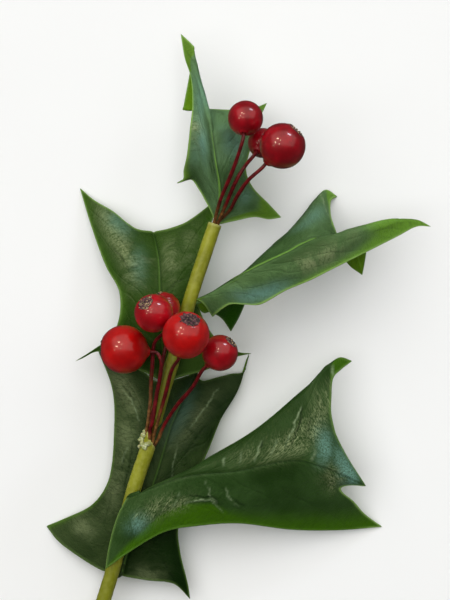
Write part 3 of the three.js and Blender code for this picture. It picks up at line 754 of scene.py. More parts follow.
# %% Bright bands, tones, rims and rib lines
BANDS = {
    "leaf_lower_right": {
        "right": [
            [0, 0.06, 0.1], [0.1, 0.24, 0.15], [0.2, 0.42, 0.12], [0.3, 0.5, 0.08],
            [0.4, 0.47, 0.1], [0.46, 0.36, 0.25], [0.55, 0.36, 0.4], [0.8, 0.44, 0.5],
            [1, 0.52, 0.5],
        ],
        "left": [
            [0, 0, 0.1], [0.92, 0, 0.03], [0.935, 0.1, 0.03], [0.96, 0.17, 0.03],
            [0.975, 0.22, 0.03], [1, 0.3, 0.03],
        ],
    },
    "leaf_lower_left": {
        "right": [[0, 0.05, 0.05], [1, 0.05, 0.05]],
        "left": [[0, 0.08, 0.08], [1, 0.03, 0.03]],
    },
    "leaf_upper_left": {
        "right": [[0, 0.05, 0.05], [0.5, 0.05, 0.05], [0.8, 0.3, 0.35], [1, 0.3, 0.3]],
        "left": [[0, 0.08, 0.1], [0.4, 0.25, 0.3], [0.8, 0.3, 0.35], [1, 0.2, 0.3]],
    },
    "leaf_upper_right": {
        "right": [
            [0, 0.05, 0.05], [0.3, 0.08, 0.08], [0.5, 0.16, 0.16], [0.7, 0.2, 0.2],
            [0.8, 0.38, 0.3], [0.9, 0.75, 0.4], [1, 1, 0.5],
        ],
        "left": [[0, 0.05, 0.05], [0.94, 0.05, 0.05], [0.96, 0.1, 0.04], [1, 0.35, 0.08]],
    },
    "leaf_top": {
        "right": [
            [0, 1, 0.3], [0.035, 1, 0.3], [0.06, 0.55, 0.3], [0.1, 0.4, 0.25], [0.16, 0.25, 0.2],
            [0.2, 0.08, 0.08], [0.93, 0.05, 0.05], [0.97, 0.35, 0.1], [1, 0.4, 0.1],
        ],
        "left": [
            [0, 0.2, 0.2], [0.3, 0.06, 0.06], [0.76, 0.05, 0.05], [0.8, 0.12, 0.03],
            [0.9, 0.17, 0.03], [1, 0.3, 0.03],
        ],
    },
}
TONES = {
    "leaf_lower_right": {
        "right": [[0, 0.6], [0.2, 0.4], [0.4, 0.5], [0.8, 0.5], [1, 0.65]],
        "left": [[0, 0.3], [1, 0.45]],
    },
    "leaf_lower_left": {
        "right": [[0, 0], [0.12, 0.1], [0.3, 0.4], [0.7, 0.5], [0.9, 0.4], [1, 0.3]],
        "left": [[0, 0.8], [0.65, 0.7], [0.77, 0.5], [1, 0.45]],
    },
    "leaf_upper_left": {
        "right": [[0, 0.5], [0.6, 0.45], [0.7, 0.3], [1, 0.5]],
        "left": [[0, 0.3], [0.7, 0.2], [1, 0.3]],
    },
    "leaf_upper_right": {
        "right": [[0, 0.8], [0.3, 1.0], [0.5, 0.9], [0.8, 0.75], [1, 0.9]],
        "left": [[0, 0.6], [0.35, 0.25], [0.6, 0.25], [0.8, 0.75], [1, 0.75]],
    },
    "leaf_top": {
        "right": [[0, 0.8], [0.18, 0.85], [0.35, 0.75], [0.45, 0.8], [0.6, 1.1], [1, 1.2]],
        "left": [[0, 0.3], [0.13, 0.7], [0.3, 0.9], [0.5, 1.05], [0.75, 0.95], [1, 0.85]],
    },
}
RIMS = {
    "leaf_lower_right": {
        "right": [[0, 0.35], [0.1, 0.15], [0.9, 0.2], [0.97, 1]],
        "left": [[0, 0.1], [0.85, 0.1], [1, 0.35]],
    },
    "leaf_lower_left": {"right": [[0, 0.2], [1, 0.1]], "left": [[0, 0.2], [0.3, 0.1], [1, 0.15]]},
    "leaf_upper_left": {"right": [[0, 0.3], [1, 0.45]], "left": [[0, 0.3], [1, 0.6]]},
    "leaf_upper_right": {
        "right": [[0, 1], [0.7, 1], [1, 0.5]],
        "left": [[0, 0.5], [0.7, 0.2], [1, 0.9]],
    },
    "leaf_top": {"right": [[0, 1], [0.2, 0.6], [1, 0.5]], "left": [[0, 1], [1, 1]]},
}
RIB_LINES = {
    "leaf_lower_right": [[0, 0.1, 0.22], [1, 0.1, 0.22]],
    "leaf_lower_left": [[0, 0.4, 0.22], [1, 0.25, 0.22]],
    "leaf_upper_left": [[0, 0.3, 0.22], [0.6, 0.5, 0.22], [0.85, 0.4, 0.22], [1, 0.1, 0.22]],
    "leaf_upper_right": [
        [0, 0.1, 0.2], [0.2, 0.2, 0.2], [0.32, 0.9, 0.24], [0.75, 0.9, 0.22], [0.9, 0.3, 0.2],
        [1, 0, 0.2],
    ],
    "leaf_top": [
        [0, 0.6, 0.2], [0.12, 0.9, 0.3], [0.35, 1, 0.5], [0.55, 1, 0.36], [0.68, 0.6, 0.18],
        [0.85, 0.2, 0.15], [1, 0.1, 0.1],
    ],
}


def stops_at(stops, along, column=1):
    stops = np.array(stops)
    return np.interp(along, stops[:, 0], stops[:, column])[:, None]


def by_half(stops, along, across, column=1):
    right, left = (stops_at(stops[half], along, column) for half in ("right", "left"))
    return np.where(across[None] < 0, right, left)


def band_mask(name, along, across):
    width = by_half(BANDS[name], along, across)
    softness = np.minimum(by_half(BANDS[name], along, across, 2), width + 1e-6)
    return smooth_step((np.abs(across)[None] - 1 + width) / softness) * smooth_step(width / 0.1)


print("leaves with bands:", len(BANDS))

# %% [markdown]
# ## One leaf with its stalk
# All masks of a leaf are gathered first, one value for the upper skin and one for the lower
# skin, and the rim and the leaf stalk get a value of their own. One underside gets painted
# shade, a deeper green where it folds in under the other half. The stalk is a short rod in the
# same mesh, because on the real leaf it is moulded with the blade.

# %% Masks of one leaf
PETIOLE_RADIUS = 0.6
PETIOLE_SIDES, PETIOLE_STEPS = 20, 24
PALE_PETIOLES = {"leaf_upper_right": 0.2}
SHADED_FOLDS = {"leaf_upper_right": 0.35}
AT_RIM = {"tone": 0.5, "rim_line": 0.8, "underside": 0.5}
PETIOLES = {
    "leaf_lower_right": [[-24.6, -52.5, 10.2], [-24, -49.5, 12.8], [-21.3, -48.2, 14.2]],
    "leaf_lower_left": [[-29, -70.6, 7.8], [-26.3, -69.4, 5], [-25.6, -66.9, 5.4]],
    "leaf_upper_left": [[-15.4, -24.5, 13.9], [-15.1, -20.3, 11.1], [-15.3, -17.2, 11.4]],
    "leaf_upper_right": [[-9, -0.8, 15.7], [-6.4, -0.3, 16.2], [-4.2, 0.9, 17.3]],
    "leaf_top": [[-3.6, 15.8, 15.9], [-2, 19.5, 14.6], [-1.6, 22, 16.4]],
}


def leaf_masks(name, along, across, measures, veins, strokes):
    u, v = along[:, None], across[None]
    rim, rib = measures["rim"], measures["rib"]
    none = np.zeros(rib.shape)
    inside = np.clip(rim / 2.5, 0, 1) * np.clip(rib / 0.8, 0, 1)
    pale, width = (stops_at(RIB_LINES[name], along, column) for column in (1, 2))
    beside = np.where(v > 0, falloff(rib - width * 1.3, width * (0.4 + 0.6 * pale)), 0)
    fold = smooth_step((v - 0.3) / 0.3) * smooth_step((SHADED_FOLDS.get(name, 0) - u) / 0.15)
    through = {
        "tone": by_half(TONES[name], along, across),
        "rim_line": falloff(rim, 0.42) * by_half(RIMS[name], along, across),
        "rib_line": beside * pale,
        "groove_shade": falloff(rib, 0.3),
        "vein_groove_shade": falloff(veins, 0.3) * inside,
        "bright_band": band_mask(name, along, across),
        "run": u * measures["length"] + none,
        "reach": rib * np.sign(v),
    }
    return {
        **{key: (mask, mask) for key, mask in through.items()},
        **{kind: (mask, none) for kind, mask in strokes.items()},
        "underside": (none, none + 1),
        "shaded": (none, fold),
    }


print("leaf stalks:", len(PETIOLES))

# %% One leaf
def leaf_piece(name, leaf):
    grid, along, across = leaf_sheet(leaf)
    measures = leaf_measures(grid)
    veins = vein_distance(along, across, measures["length"])
    strokes = {
        kind: stroke_mask(grid, STROKES[name][kind], width) for kind, width in STROKE_WIDTHS.items()
    }
    height = leaf_height(name, grid, across, measures, veins, strokes)
    places, faces, rim_count = leaf_skins(grid, height, measures["rim"])
    if leaf["rests"]:
        places = let_down(places, np.array(leaf["rib"][0], float))
    stalk_places, stalk_faces, _, _ = sweep(
        PETIOLES[name], lambda share: PETIOLE_RADIUS, PETIOLE_SIDES, PETIOLE_STEPS,
    )
    faces += [face + len(places) for face in stalk_faces]
    at_stalk = {"tone": 0.5, "rim_line": PALE_PETIOLES.get(name, 0)}
    masks = {}
    for key, (above, below) in leaf_masks(name, along, across, measures, veins, strokes).items():
        at_rim = np.full(rim_count, AT_RIM.get(key, 0))
        stalk = np.full(len(stalk_places), at_stalk.get(key, 0))
        masks[key] = np.concatenate([above.ravel(), below.ravel(), at_rim, stalk])
    return new_mesh("holly_" + name, np.vstack([places, stalk_places]), faces, masks)


print("a leaf stalk is", PETIOLE_RADIUS * 2, "mm thick")

# %% [markdown]
# ## Finishes as expressions
# A finish is a small network of nodes that feed one shader. Wired by hand it is a page of
# links. Here a socket is wrapped in a class with the arithmetic operators, so a mask can be
# written as a sum or a product, and every other node comes from one method.

# %% Sockets with operators
class Wire:
    def __init__(self, finish, socket):
        self.finish = finish
        self.socket = socket

    def math(self, operation, first, second):
        settings = {"operation": operation}
        return self.finish.node("ShaderNodeMath", settings, {0: first, 1: second})

    def __add__(self, other):
        return self.math("ADD", self, other)

    def __radd__(self, other):
        return self.math("ADD", other, self)

    def __sub__(self, other):
        return self.math("SUBTRACT", self, other)

    def __rsub__(self, other):
        return self.math("SUBTRACT", other, self)

    def __mul__(self, other):
        return self.math("MULTIPLY", self, other)

    def __rmul__(self, other):
        return self.math("MULTIPLY", other, self)

    def size(self):
        return self.math("ABSOLUTE", self, 0)

    def above(self, threshold, softness):
        ends = {"From Min": threshold, "From Max": threshold + softness}
        settings = {"interpolation_type": "SMOOTHSTEP"}
        return self.finish.node("ShaderNodeMapRange", settings, {"Value": self, **ends})


print("a socket adds, subtracts and multiplies")

# %% [markdown]
# ## One method for every other node
# A finish holds one material. Its node method makes a node, applies the settings, fills or
# links the sockets and hands back an output, so noise, cells, mixes and bumps are one line
# each. The Mix node names its colour sockets like its number sockets, so they are told apart
# by their places.

# %% A finish and its nodes
MIX_FACTOR, MIX_A, MIX_B, MIX_RESULT = 0, 6, 7, 2


class Finish:
    def __init__(self, name):
        self.material = bpy.data.materials.new(name)
        self.material.use_nodes = True
        self.tree = self.material.node_tree
        self.shader = self.tree.nodes["Principled BSDF"]

    def fill(self, socket, value):
        if isinstance(value, Wire):
            self.tree.links.new(value.socket, socket)
        else:
            socket.default_value = value

    def node(self, kind, settings, sockets, output=0):
        made = self.tree.nodes.new(kind)
        for setting, value in settings.items():
            setattr(made, setting, value)
        for socket, value in sockets.items():
            self.fill(made.inputs[socket], value)
        return Wire(self, made.outputs[output])

    def place(self):
        return self.node("ShaderNodeTexCoord", {}, {}, "Object")

    def measure(self, name):
        settings = {"attribute_type": "GEOMETRY", "attribute_name": name}
        return self.node("ShaderNodeAttribute", settings, {}, "Fac")

    def pattern(self, kind, settings, size_mm, vector, sockets):
        scale = 1 / size_mm if vector else 1 / (size_mm * MM)
        sockets = {"Vector": vector or self.place(), "Scale": scale, **sockets}
        return self.node(kind, settings, sockets)

    def noise(self, size_mm, detail=3.0, roughness=0.5, distortion=0.0, vector=None):
        sockets = {"Detail": detail, "Roughness": roughness, "Distortion": distortion}
        return self.pattern("ShaderNodeTexNoise", {}, size_mm, vector, sockets)

    def cells(self, size_mm, vector):
        settings = {"feature": "DISTANCE_TO_EDGE"}
        return self.pattern("ShaderNodeTexVoronoi", settings, size_mm, vector, {})

    def blend(self, share, first, second):
        def colour(value):
            return value if isinstance(value, Wire) else (*value, 1)
        sockets = {MIX_FACTOR: share, MIX_A: colour(first), MIX_B: colour(second)}
        return self.node("ShaderNodeMix", {"data_type": "RGBA"}, sockets, MIX_RESULT)

    def bump(self, height, strength, distance_mm):
        sockets = {"Strength": strength, "Distance": distance_mm * MM, "Height": height}
        return self.node("ShaderNodeBump", {}, sockets)

    def feed(self, **sockets):
        for name, value in sockets.items():
            self.fill(self.shader.inputs[name.replace("_", " ")], value)
        return self.material


print("finishes start from the", bpy.app.version_string, "Principled shader")

# %% [markdown]
# ## The leaf finish
# The plastic has a satin gloss. Its colour goes between a deep and a light green by tone, the
# bands are a bright green, and veins, creases, rib and rim are blended over it. Painted sheen
# lies in warm and cool patches; painted shade darkens broad folds, the midrib groove, the side
# veins, the sunken creases and fine lines in the wrinkles; and the raised creases carry a
# painted highlight. A net of very fine wrinkles breaks up the gloss and the painted sheen, laid
# out in the leaf's own lengths, so that it stretches away from the midrib as the real one does.
# The first number of each leaf is how much the fine crackle breaks up the painted sheen. A
# picture wrapped round the leaf would slide off its edges, so the masks measured on the mesh
# drive the colours.

# %% Leaf plastic
# The two sheen colours are painted highlights that stand in for glare on the gloss.
WARM_SHEEN, COOL_SHEEN = (0.25, 0.3, 0.14), (0.14, 0.29, 0.23)
# The crease colours are a painted highlight for raised creases and painted shade for sunken ones.
CREASE_HIGHLIGHT, CREASE_SHADE = (0.25, 0.33, 0.18), (0.003, 0.011, 0.002)
# The groove colour is painted shade along the sunken midrib.
GROOVE_SHADE, PALE_RIB, PALE_RIM = (0.007, 0.022, 0.005), (0.15, 0.31, 0.05), (0.23, 0.39, 0.09)
# The shaded underside colour is painted shade.
UNDERSIDE, SHADED_UNDERSIDE = (0.1, 0.22, 0.003), (0.01, 0.075, 0.0005)


def leaf_colour(f, crackle, deep, light, bright, wide, grain, folds, cracks, lines):
    patches = f.noise(3.4, 4, 0.6, 0.5, vector=wide).above(0.38, 0.16) * 0.7 + 0.3
    drift = f.noise(11, 2).above(0.3, 0.4)
    warm, cool = f.measure("warm_painted_sheen") * patches, f.measure("cool_painted_sheen")
    colour = f.blend((f.measure("tone") + drift * 0.5 - 0.25).above(0.0, 1.0), deep, light)
    colour = f.blend(folds.above(0.5, 0.2) * 0.3, colour, deep)
    colour = f.blend(f.measure("bright_band") * 0.92, colour, bright)
    speckle = 1 - (1 - grain.above(0.4, 0.16) * 0.85) * crackle - cracks * crackle * 0.6
    # Painted shade: dark patches in broad folds pull the colour to the deep green.
    colour = f.blend(f.measure("painted_fold_shade") * 0.75, colour, deep)
    # Painted sheen: warm and cool patches lighten the colour where glare from the lamps would lie.
    colour = f.blend(warm * speckle, colour, WARM_SHEEN)
    colour = f.blend(cool * (speckle * 0.6 + 0.4), colour, COOL_SHEEN)
    # Painted shade in the fine wrinkle lines, strongest inside the warm sheen.
    colour = f.blend(lines * (warm * 0.6 + 0.25), colour, deep)
    # Painted shade in the sunken side veins.
    colour = f.blend(f.measure("vein_groove_shade") * 0.22, colour, deep)
    # Painted highlight on the raised creases and painted shade in the sunken ones; the creases are
    # also raised and sunken in the mesh.
    colour = f.blend(f.measure("raised") * 0.6, colour, CREASE_HIGHLIGHT)
    colour = f.blend(f.measure("sunken") * 0.8, colour, CREASE_SHADE)
    # Painted shade along the sunken midrib groove.
    colour = f.blend(f.measure("groove_shade") * 0.6, colour, GROOVE_SHADE)
    colour = f.blend(f.measure("rib_line"), colour, PALE_RIB)
    # Painted shade on the underside where it folds in under the other half.
    below = f.blend(f.measure("shaded") * 0.9, UNDERSIDE, SHADED_UNDERSIDE)
    colour = f.blend(f.measure("underside"), colour, below)
    return f.blend(f.measure("rim_line"), colour, PALE_RIM)


def leaf_plastic(name, crackle, deep, light, bright):
    f = Finish(name)
    run, reach = f.measure("run"), f.measure("reach")
    sheet = f.node("ShaderNodeCombineXYZ", {}, {0: run * 1.7, 1: reach})
    wide = f.node("ShaderNodeCombineXYZ", {}, {0: run, 1: reach * 0.35})
    cracks = 1 - f.cells(1.3, vector=sheet).above(0.0, 0.1)
    lines = 1 - (f.noise(1.5, 3, 0.6, 0.4, vector=wide) - 0.5).size().above(0.0, 0.04)
    grain = f.noise(0.75, 3, 0.6, vector=sheet)
    folds = f.noise(4.5, 3, 0.55, 0.6, vector=sheet)
    greens = (deep, light, bright)
    colour = leaf_colour(f, crackle, *greens, wide, grain, folds, cracks, lines)
    wrinkle = grain * 0.6 + folds * 1.7 - cracks * 0.4 - lines * 0.3
    rough = 0.3 + f.noise(5, 3) * 0.16
    return f.feed(
        Base_Color=colour, Roughness=rough, Normal=f.bump(wrinkle, 0.6, 0.2), Coat_Weight=0.03,
        Coat_Roughness=0.16, Specular_IOR_Level=0.22, Specular_Tint=(0.8, 1, 0.6, 1),
    )


print("leaf finishes mix", ", ".join(STROKE_WIDTHS), "over three greens")

# %% The five leaves
LEAF_GREENS = {
    "leaf_lower_right": [0.85, (0.011, 0.034, 0.004), (0.034, 0.078, 0.018), (0.042, 0.122, 0.001)],
    "leaf_lower_left": [0.2, (0.003, 0.014, 0.001), (0.03, 0.052, 0.014), (0.04, 0.1, 0.005)],
    "leaf_upper_left": [0.4, (0.014, 0.044, 0.002), (0.038, 0.083, 0.01), (0.035, 0.098, 0.003)],
    "leaf_upper_right": [0.3, (0.033, 0.078, 0.019), (0.092, 0.177, 0.06), (0.125, 0.27, 0.024)],
    "leaf_top": [0.2, (0.028, 0.065, 0.014), (0.095, 0.185, 0.075), (0.1, 0.21, 0.012)],
}
for leaf_name, leaf in LEAVES.items():
    finish = leaf_plastic("plastic_of_" + leaf_name, *LEAF_GREENS[leaf_name])
    piece = stands_for(leaf_piece(leaf_name, leaf), leaf_name, finish)
    print(piece.name, "has", len(piece.data.polygons), "faces")

# %% [markdown]
# ## The berries and where their wires run
# Each berry is a lacquered ball with a rough crown at its far end, on a coated wire. The wires
# of the lower bunch are pushed into the lower tube, those of the upper bunch into the upper
# one. Their feet are placed inside the tubes by angle, so they can't cross.

# %% Berries
BERRIES = {
    "left": {
        "middle": [-25, -12.25, 20], "diameter": 12.1, "crown": [-1, 0.1, 0],
        "foot": {"angle": 105, "out": 0.98, "mouth": 3.8}, "brown": 4,
        "stalk": [
            [-18.85, -34.4, 14.2], [-18.75, -32.5, 15.1], [-18, -30.1, 16.4], [-17.4, -26.2, 17.2],
            [-16.9, -23, 17.9], [-15.9, -17.8, 19.6], [-15.9, -14.8, 20.2],
        ],
    },
    "middle": {
        "middle": [-17.5, -3.25, 26.7], "diameter": 9.5, "crown": [-0.46, 0.61, 0.64],
        "foot": {"angle": 180, "out": 0.98, "mouth": 3.8}, "brown": 22,
        "stalk": [
            [-19.75, -34.4, 12.9], [-19.6, -32.5, 13.5], [-19.2, -30.1, 14.7], [-18.6, -25, 15.9],
            [-18.4, -20, 17.3], [-18.1, -16.5, 18.2], [-17.4, -10.5, 19.4],
        ],
    },
    "ridged": {
        "middle": [-15.1, -2, 18], "diameter": 8, "crown": [-0.45, 0.88, 0.1],
        "foot": {"angle": 0, "out": 0, "mouth": 3.8}, "brown": 8,
        "stalk": [
            [-18.65, -34.4, 13.1], [-18.7, -32.5, 14], [-18.4, -30.1, 15.3], [-17.6, -26.2, 15.9],
            [-16.7, -22, 16.5], [-15.3, -14, 17.6], [-14.1, -9.8, 17.7],
        ],
    },
    "front": {
        "middle": [-9.5, -8.5, 31.8], "diameter": 11.6, "crown": [0.23, 0.75, 0.62],
        "foot": {"angle": 43, "out": 0.98, "mouth": 3.8}, "brown": 14,
        "stalk": [
            [-17.95, -34.4, 13.75], [-17.5, -32.5, 14.6], [-16.75, -30.1, 15.6],
            [-14.75, -23.25, 18.6], [-13, -17, 23.3],
        ],
    },
    "right": {
        "middle": [-1.25, -13, 25], "diameter": 8.9, "crown": [0.68, 0.68, 0.28],
        "foot": {"angle": -14, "out": 0.98, "mouth": 5.6}, "brown": 9,
        "stalk": [
            [-17.45, -36, 12.4], [-16.55, -34.4, 13.1], [-15.8, -32.5, 14], [-14.6, -30.2, 15.2],
            [-11.8, -26, 17.5], [-8, -21.5, 21],
        ],
    },
    "top_left": {
        "middle": [5, 44.5, 27], "diameter": 8.7, "crown": [0.1, 0.85, -0.5],
        "foot": {"angle": 110, "out": 0.75, "mouth": 0}, "brown": 8,
        "stalk": [[-1.2, 24.5, 22.2], [2, 32, 27.2]],
    },
    "top_back": {
        "middle": [9.3, 38.8, 21.8], "diameter": 7.4, "crown": [0.4, 0.6, -0.7],
        "foot": {"angle": 30, "out": 0.75, "mouth": 0}, "brown": 8,
        "stalk": [[0.4, 24, 21.2], [2.9, 29.6, 24.4], [5, 33, 24.8]],
    },
    "top_right": {
        "middle": [14, 37.5, 30.5], "diameter": 11.2, "crown": [0.68, 0.72, 0.15],
        "foot": {"angle": -60, "out": 0.75, "mouth": 0}, "brown": 8,
        "stalk": [[1.1, 22.2, 18.9], [3.1, 25.7, 23.9], [5.8, 29.4, 27.8]],
    },
}
for berry_name, berry in BERRIES.items():
    low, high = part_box("berry_" + berry_name)
    across = (high - low).length / MM / math.sqrt(3)
    print("berry", berry_name, "is about", round(across, 1), "mm across")

# %% [markdown]
# ## Turned shapes
# A berry is a turned shape: a profile of distance from the axis and height along it, spun round.
# A UV sphere could be pushed into the same form, but the profile gives the neck round the wire
# and the shallow seat of the crown exactly.

# %% Spin a profile about an axis
def axis_frame(way):
    way = unit(np.array(way, float))
    helper = np.array([0.0, 0.0, 1.0]) if abs(way[2]) < 0.9 else np.array([1.0, 0.0, 0.0])
    right = unit(np.cross(helper, way))
    return right, np.cross(way, right), way


def spin(profile, middle, way, segments, swell=None):
    right, forward, up = axis_frame(way)
    angles = turn(segments)
    ring = np.cos(angles)[:, None] * right + np.sin(angles)[:, None] * forward
    places = np.array([middle + ring * radius + up * height for radius, height in profile])
    if swell is not None:
        places = swell(places)
    index = numbered(len(profile), segments)
    outward = [face[[0, 3, 2, 1]] for face in ring_faces(index)]
    return places.reshape(-1, 3), [*outward, index[0][::-1], index[-1]]


_, test_faces = spin([[1, 0], [1, 1]], np.zeros(3), [0, 0, 1], 8)
print("a spun test drum has", len(test_faces), "faces")

# %% [markdown]
# ## One berry
# The ball has a neck with a bore, where the wire goes in, and a shallow dimple at the far end
# for the crown. Real berries are never quite round, so the skin swells by a slow noise, and one
# berry is wrinkled in rings towards its crown, as if it had shrunk. The neck and the dimple keep
# their true size, because the wire and the crown have to fit.

# %% One berry
NECK_LENGTH = 0.035
NECK_RADIUS = 0.95
NECK_BORE, NECK_BORE_DEPTH = 0.5, 1.2
CROWN_SHARE = 0.2
CROWN_SPREAD = {"middle": 1.25, "front": 1.2, "right": 1.1, "top_right": 1.1}
DIMPLE = ((0.86, 0.06), (0.7, 0.22), (0.4, 0.3), (0.05, 0.3))
BERRY_SEGMENTS = 72
BERRY_RINGS = 60
DENT = 0.012
WRINKLE_HEIGHT, WRINKLE_RATE = 0.075, 15


def crown_radius(name):
    return BERRIES[name]["diameter"] * CROWN_SHARE * CROWN_SPREAD.get(name, 1)


def berry_profile(name, berry):
    radius = berry["diameter"] / 2
    crown = crown_radius(name)
    start = math.asin(NECK_RADIUS / radius) + 0.12
    stop = math.pi - math.asin(crown / radius) * 0.96
    bottom = -radius - berry["diameter"] * NECK_LENGTH
    profile = [[NECK_BORE, bottom + NECK_BORE_DEPTH], [NECK_BORE, bottom + 0.1], [0.62, bottom]]
    profile += [[NECK_RADIUS - 0.1, bottom], [NECK_RADIUS, bottom + 0.12]]
    for angle in np.linspace(start, stop, BERRY_RINGS):
        profile.append([radius * math.sin(angle), -radius * math.cos(angle)])
    seat = profile[-1][1]
    return [*profile, *([crown * share, seat - drop] for share, drop in DIMPLE)]


def berry_piece(name, berry, finish):
    middle = np.array(berry["middle"], float)
    radius = berry["diameter"] / 2
    _, _, up = axis_frame(berry["crown"])
    ridges = 1.0 if name == "ridged" else 0.0

    def swell(places):
        out = places - middle
        reach = np.linalg.norm(out, axis=-1, keepdims=True)
        lift = np.array([[noise.noise(Vector(unit(p) * 1.3 + middle)) for p in row] for row in out])
        height = np.clip((out @ up) / radius, -1, 1)
        rings = np.sin(height * WRINKLE_RATE + 3 * lift) * smooth_step((height + 0.1) / 0.5)
        near_skin = smooth_step((reach[..., 0] / radius - 0.9) / 0.08)
        rise = DENT * radius * lift + rings * WRINKLE_HEIGHT * ridges
        return places + unit(out) * (rise * near_skin)[..., None]

    profile = berry_profile(name, berry)
    places, faces = spin(profile, middle, berry["crown"], BERRY_SEGMENTS, swell)
    height = ((places - middle) @ up) / radius
    piece = new_mesh("holly_berry_" + name, places, faces, {"height": height})
    return stands_for(piece, "berry_" + name, finish)


widest = max(crown_radius(name) for name in BERRIES) * 2
print("the largest crown is", round(widest, 1), "mm wide")

# %% [markdown]
# ## The berry lacquer
# The berries are dipped in a clear red lacquer over a slightly mottled red. A coat layer over
# the base gives the sharp reflections, and the base below stays softer. The upper bunch is a
# deep crimson, the lower one is lighter, and its left and front berries are the purest red, so
# the finish takes its two reds as arguments.

# %% Red lacquer
def red_lacquer(name, red, deep):
    f = Finish(name)
    mottle = f.noise(3.5, 3).above(0.35, 0.4)
    specks = f.noise(0.5, 2).above(0.66, 0.05)
    colour = f.blend(mottle, deep, red)
    colour = f.blend(f.measure("height").above(0.72, 0.35) * 0.35, colour, deep)
    colour = f.blend(specks * 0.25, colour, (0.1, 0.005, 0.004))
    normal = f.bump(f.noise(1.4, 2), 0.05, 0.1)
    rough = 0.28 + f.noise(4, 2) * 0.12
    return f.feed(
        Base_Color=colour, Roughness=rough, Normal=normal, Coat_Weight=1.0, Coat_Roughness=0.03,
        Specular_IOR_Level=0.25,
    )


lower_red = red_lacquer("red_lacquer", (0.49, 0.003, 0.002), (0.33, 0.0015, 0.0015))
lower_crimson = red_lacquer("mixed_lacquer", (0.42, 0.002, 0.009), (0.24, 0.001, 0.004))
upper_red = red_lacquer("crimson_lacquer", (0.33, 0.0015, 0.008), (0.18, 0.001, 0.004))
for berry_name, berry in BERRIES.items():
    finish = upper_red if berry_name.startswith("top_") else lower_crimson
    finish = lower_red if berry_name in ("left", "front") else finish
    piece = berry_piece(berry_name, berry, finish)
    print(piece.name, "has", len(piece.data.polygons), "faces")

# %% [markdown]
# ## The crowns
# The dried flower at the end of a holly berry is a small rough rosette, purple brown with more
# or fewer golden crumbs. It is modelled as a low disc on a polar grid, whose height and outline
# follow nine lobes and a little noise. Separate petals would be finer than anyone could see.

# %% One crown
CROWN_LOBES = 9
CROWN_RINGS = 20
CROWN_SEGMENTS = 120
RIDGE_HEIGHT, RIDGE_PLACE, RIDGE_WIDTH = 0.42, 0.66, 0.2
CRUMB_RATE, FINE_RATE, TORN_RATE = 3, 8, 4


def round_noise(angle, rate, level, share=1):
    return noise.noise(
        Vector((math.cos(angle) * share * rate, math.sin(angle) * share * rate, level))
    )


def crown_point(share, angle, radius, crown):
    lobe = 0.5 + 0.5 * math.cos(CROWN_LOBES * angle)
    crumb = round_noise(angle, CRUMB_RATE, radius, share)
    fine = round_noise(angle, FINE_RATE, radius, share)
    torn = round_noise(angle, TORN_RATE, radius + 3)
    out = crown * share * (0.84 + (0.1 * lobe + 0.3 * torn) * share + 0.05 * crumb)
    hump = math.exp(-((share - RIDGE_PLACE) / RIDGE_WIDTH) ** 2)
    ridge = RIDGE_HEIGHT * hump * (0.35 + 0.65 * lobe)
    lift = ridge + 0.36 * fine * (1.1 - share) + 0.12 * crumb + 0.1 * (1 - share)
    return out, lift, 0.5 + 0.9 * fine + 0.25 * lobe * share


def crown_piece(name, berry, finish):
    radius = berry["diameter"] / 2
    crown = crown_radius(name)
    right, forward, up = axis_frame(berry["crown"])
    seat = math.sqrt(radius ** 2 - crown ** 2) - 0.05
    middle = np.array(berry["middle"], float) + up * seat
    angles = turn(CROWN_SEGMENTS)
    ways = [right * math.cos(angle) + forward * math.sin(angle) for angle in angles]
    places, flecks = [], []
    for share in np.linspace(0.04, 1, CROWN_RINGS):
        for angle, way in zip(angles, ways):
            out, lift, fleck = crown_point(share, angle, radius, crown)
            places.append(middle + way * out + up * lift)
            flecks.append(fleck)
    index = numbered(CROWN_RINGS, CROWN_SEGMENTS)
    places += [middle + way * crown * 0.8 - up * 0.15 for way in ways]
    flecks += [0.2] * CROWN_SEGMENTS
    base = np.arange(CROWN_SEGMENTS) + index.size
    faces = [*ring_faces(index), *strip_faces(base, index[-1]), index[0], base[::-1]]
    piece = new_mesh("holly_crown_" + name, places, faces, {"fleck": flecks})
    return stands_for(piece, "crown_" + name, finish)


print("a crown has", CROWN_RINGS * CROWN_SEGMENTS, "vertices on top")

# %% Dried crowns
def dried_crown(name, gold):
    f = Finish(name)
    crumbs = f.noise(0.42, 3).above(0.5, 0.08)
    golden = f.measure("fleck").above(0.5, 0.2) * crumbs * gold
    patchy = f.noise(0.7, 3).above(0.38, 0.24)
    colour = f.blend(patchy, (0.014, 0.007, 0.008), (0.1, 0.032, 0.045))
    colour = f.blend(golden, colour, (0.55, 0.4, 0.2))
    normal = f.bump(f.noise(0.3, 4), 0.8, 0.15)
    return f.feed(Base_Color=colour, Roughness=0.7, Normal=normal)


purple_crown = dried_crown("purple_crown", 0.22)
golden_crown = dried_crown("golden_crown", 1.0)
for berry_name, berry in BERRIES.items():
    finish = purple_crown if berry_name in ("front", "left") else golden_crown
    piece = crown_piece(berry_name, berry, finish)
print("a crown has", len(piece.data.polygons), "faces")

# %% [markdown]
# ## The stem's path
# The stem is two tubes, and the lower end of the upper one thins to a peg. Both paths are
# curves through a few points, and each open end is kept as a little frame, so that whatever is
# pushed into a bore can be placed by an angle, a distance from the axis and a depth.

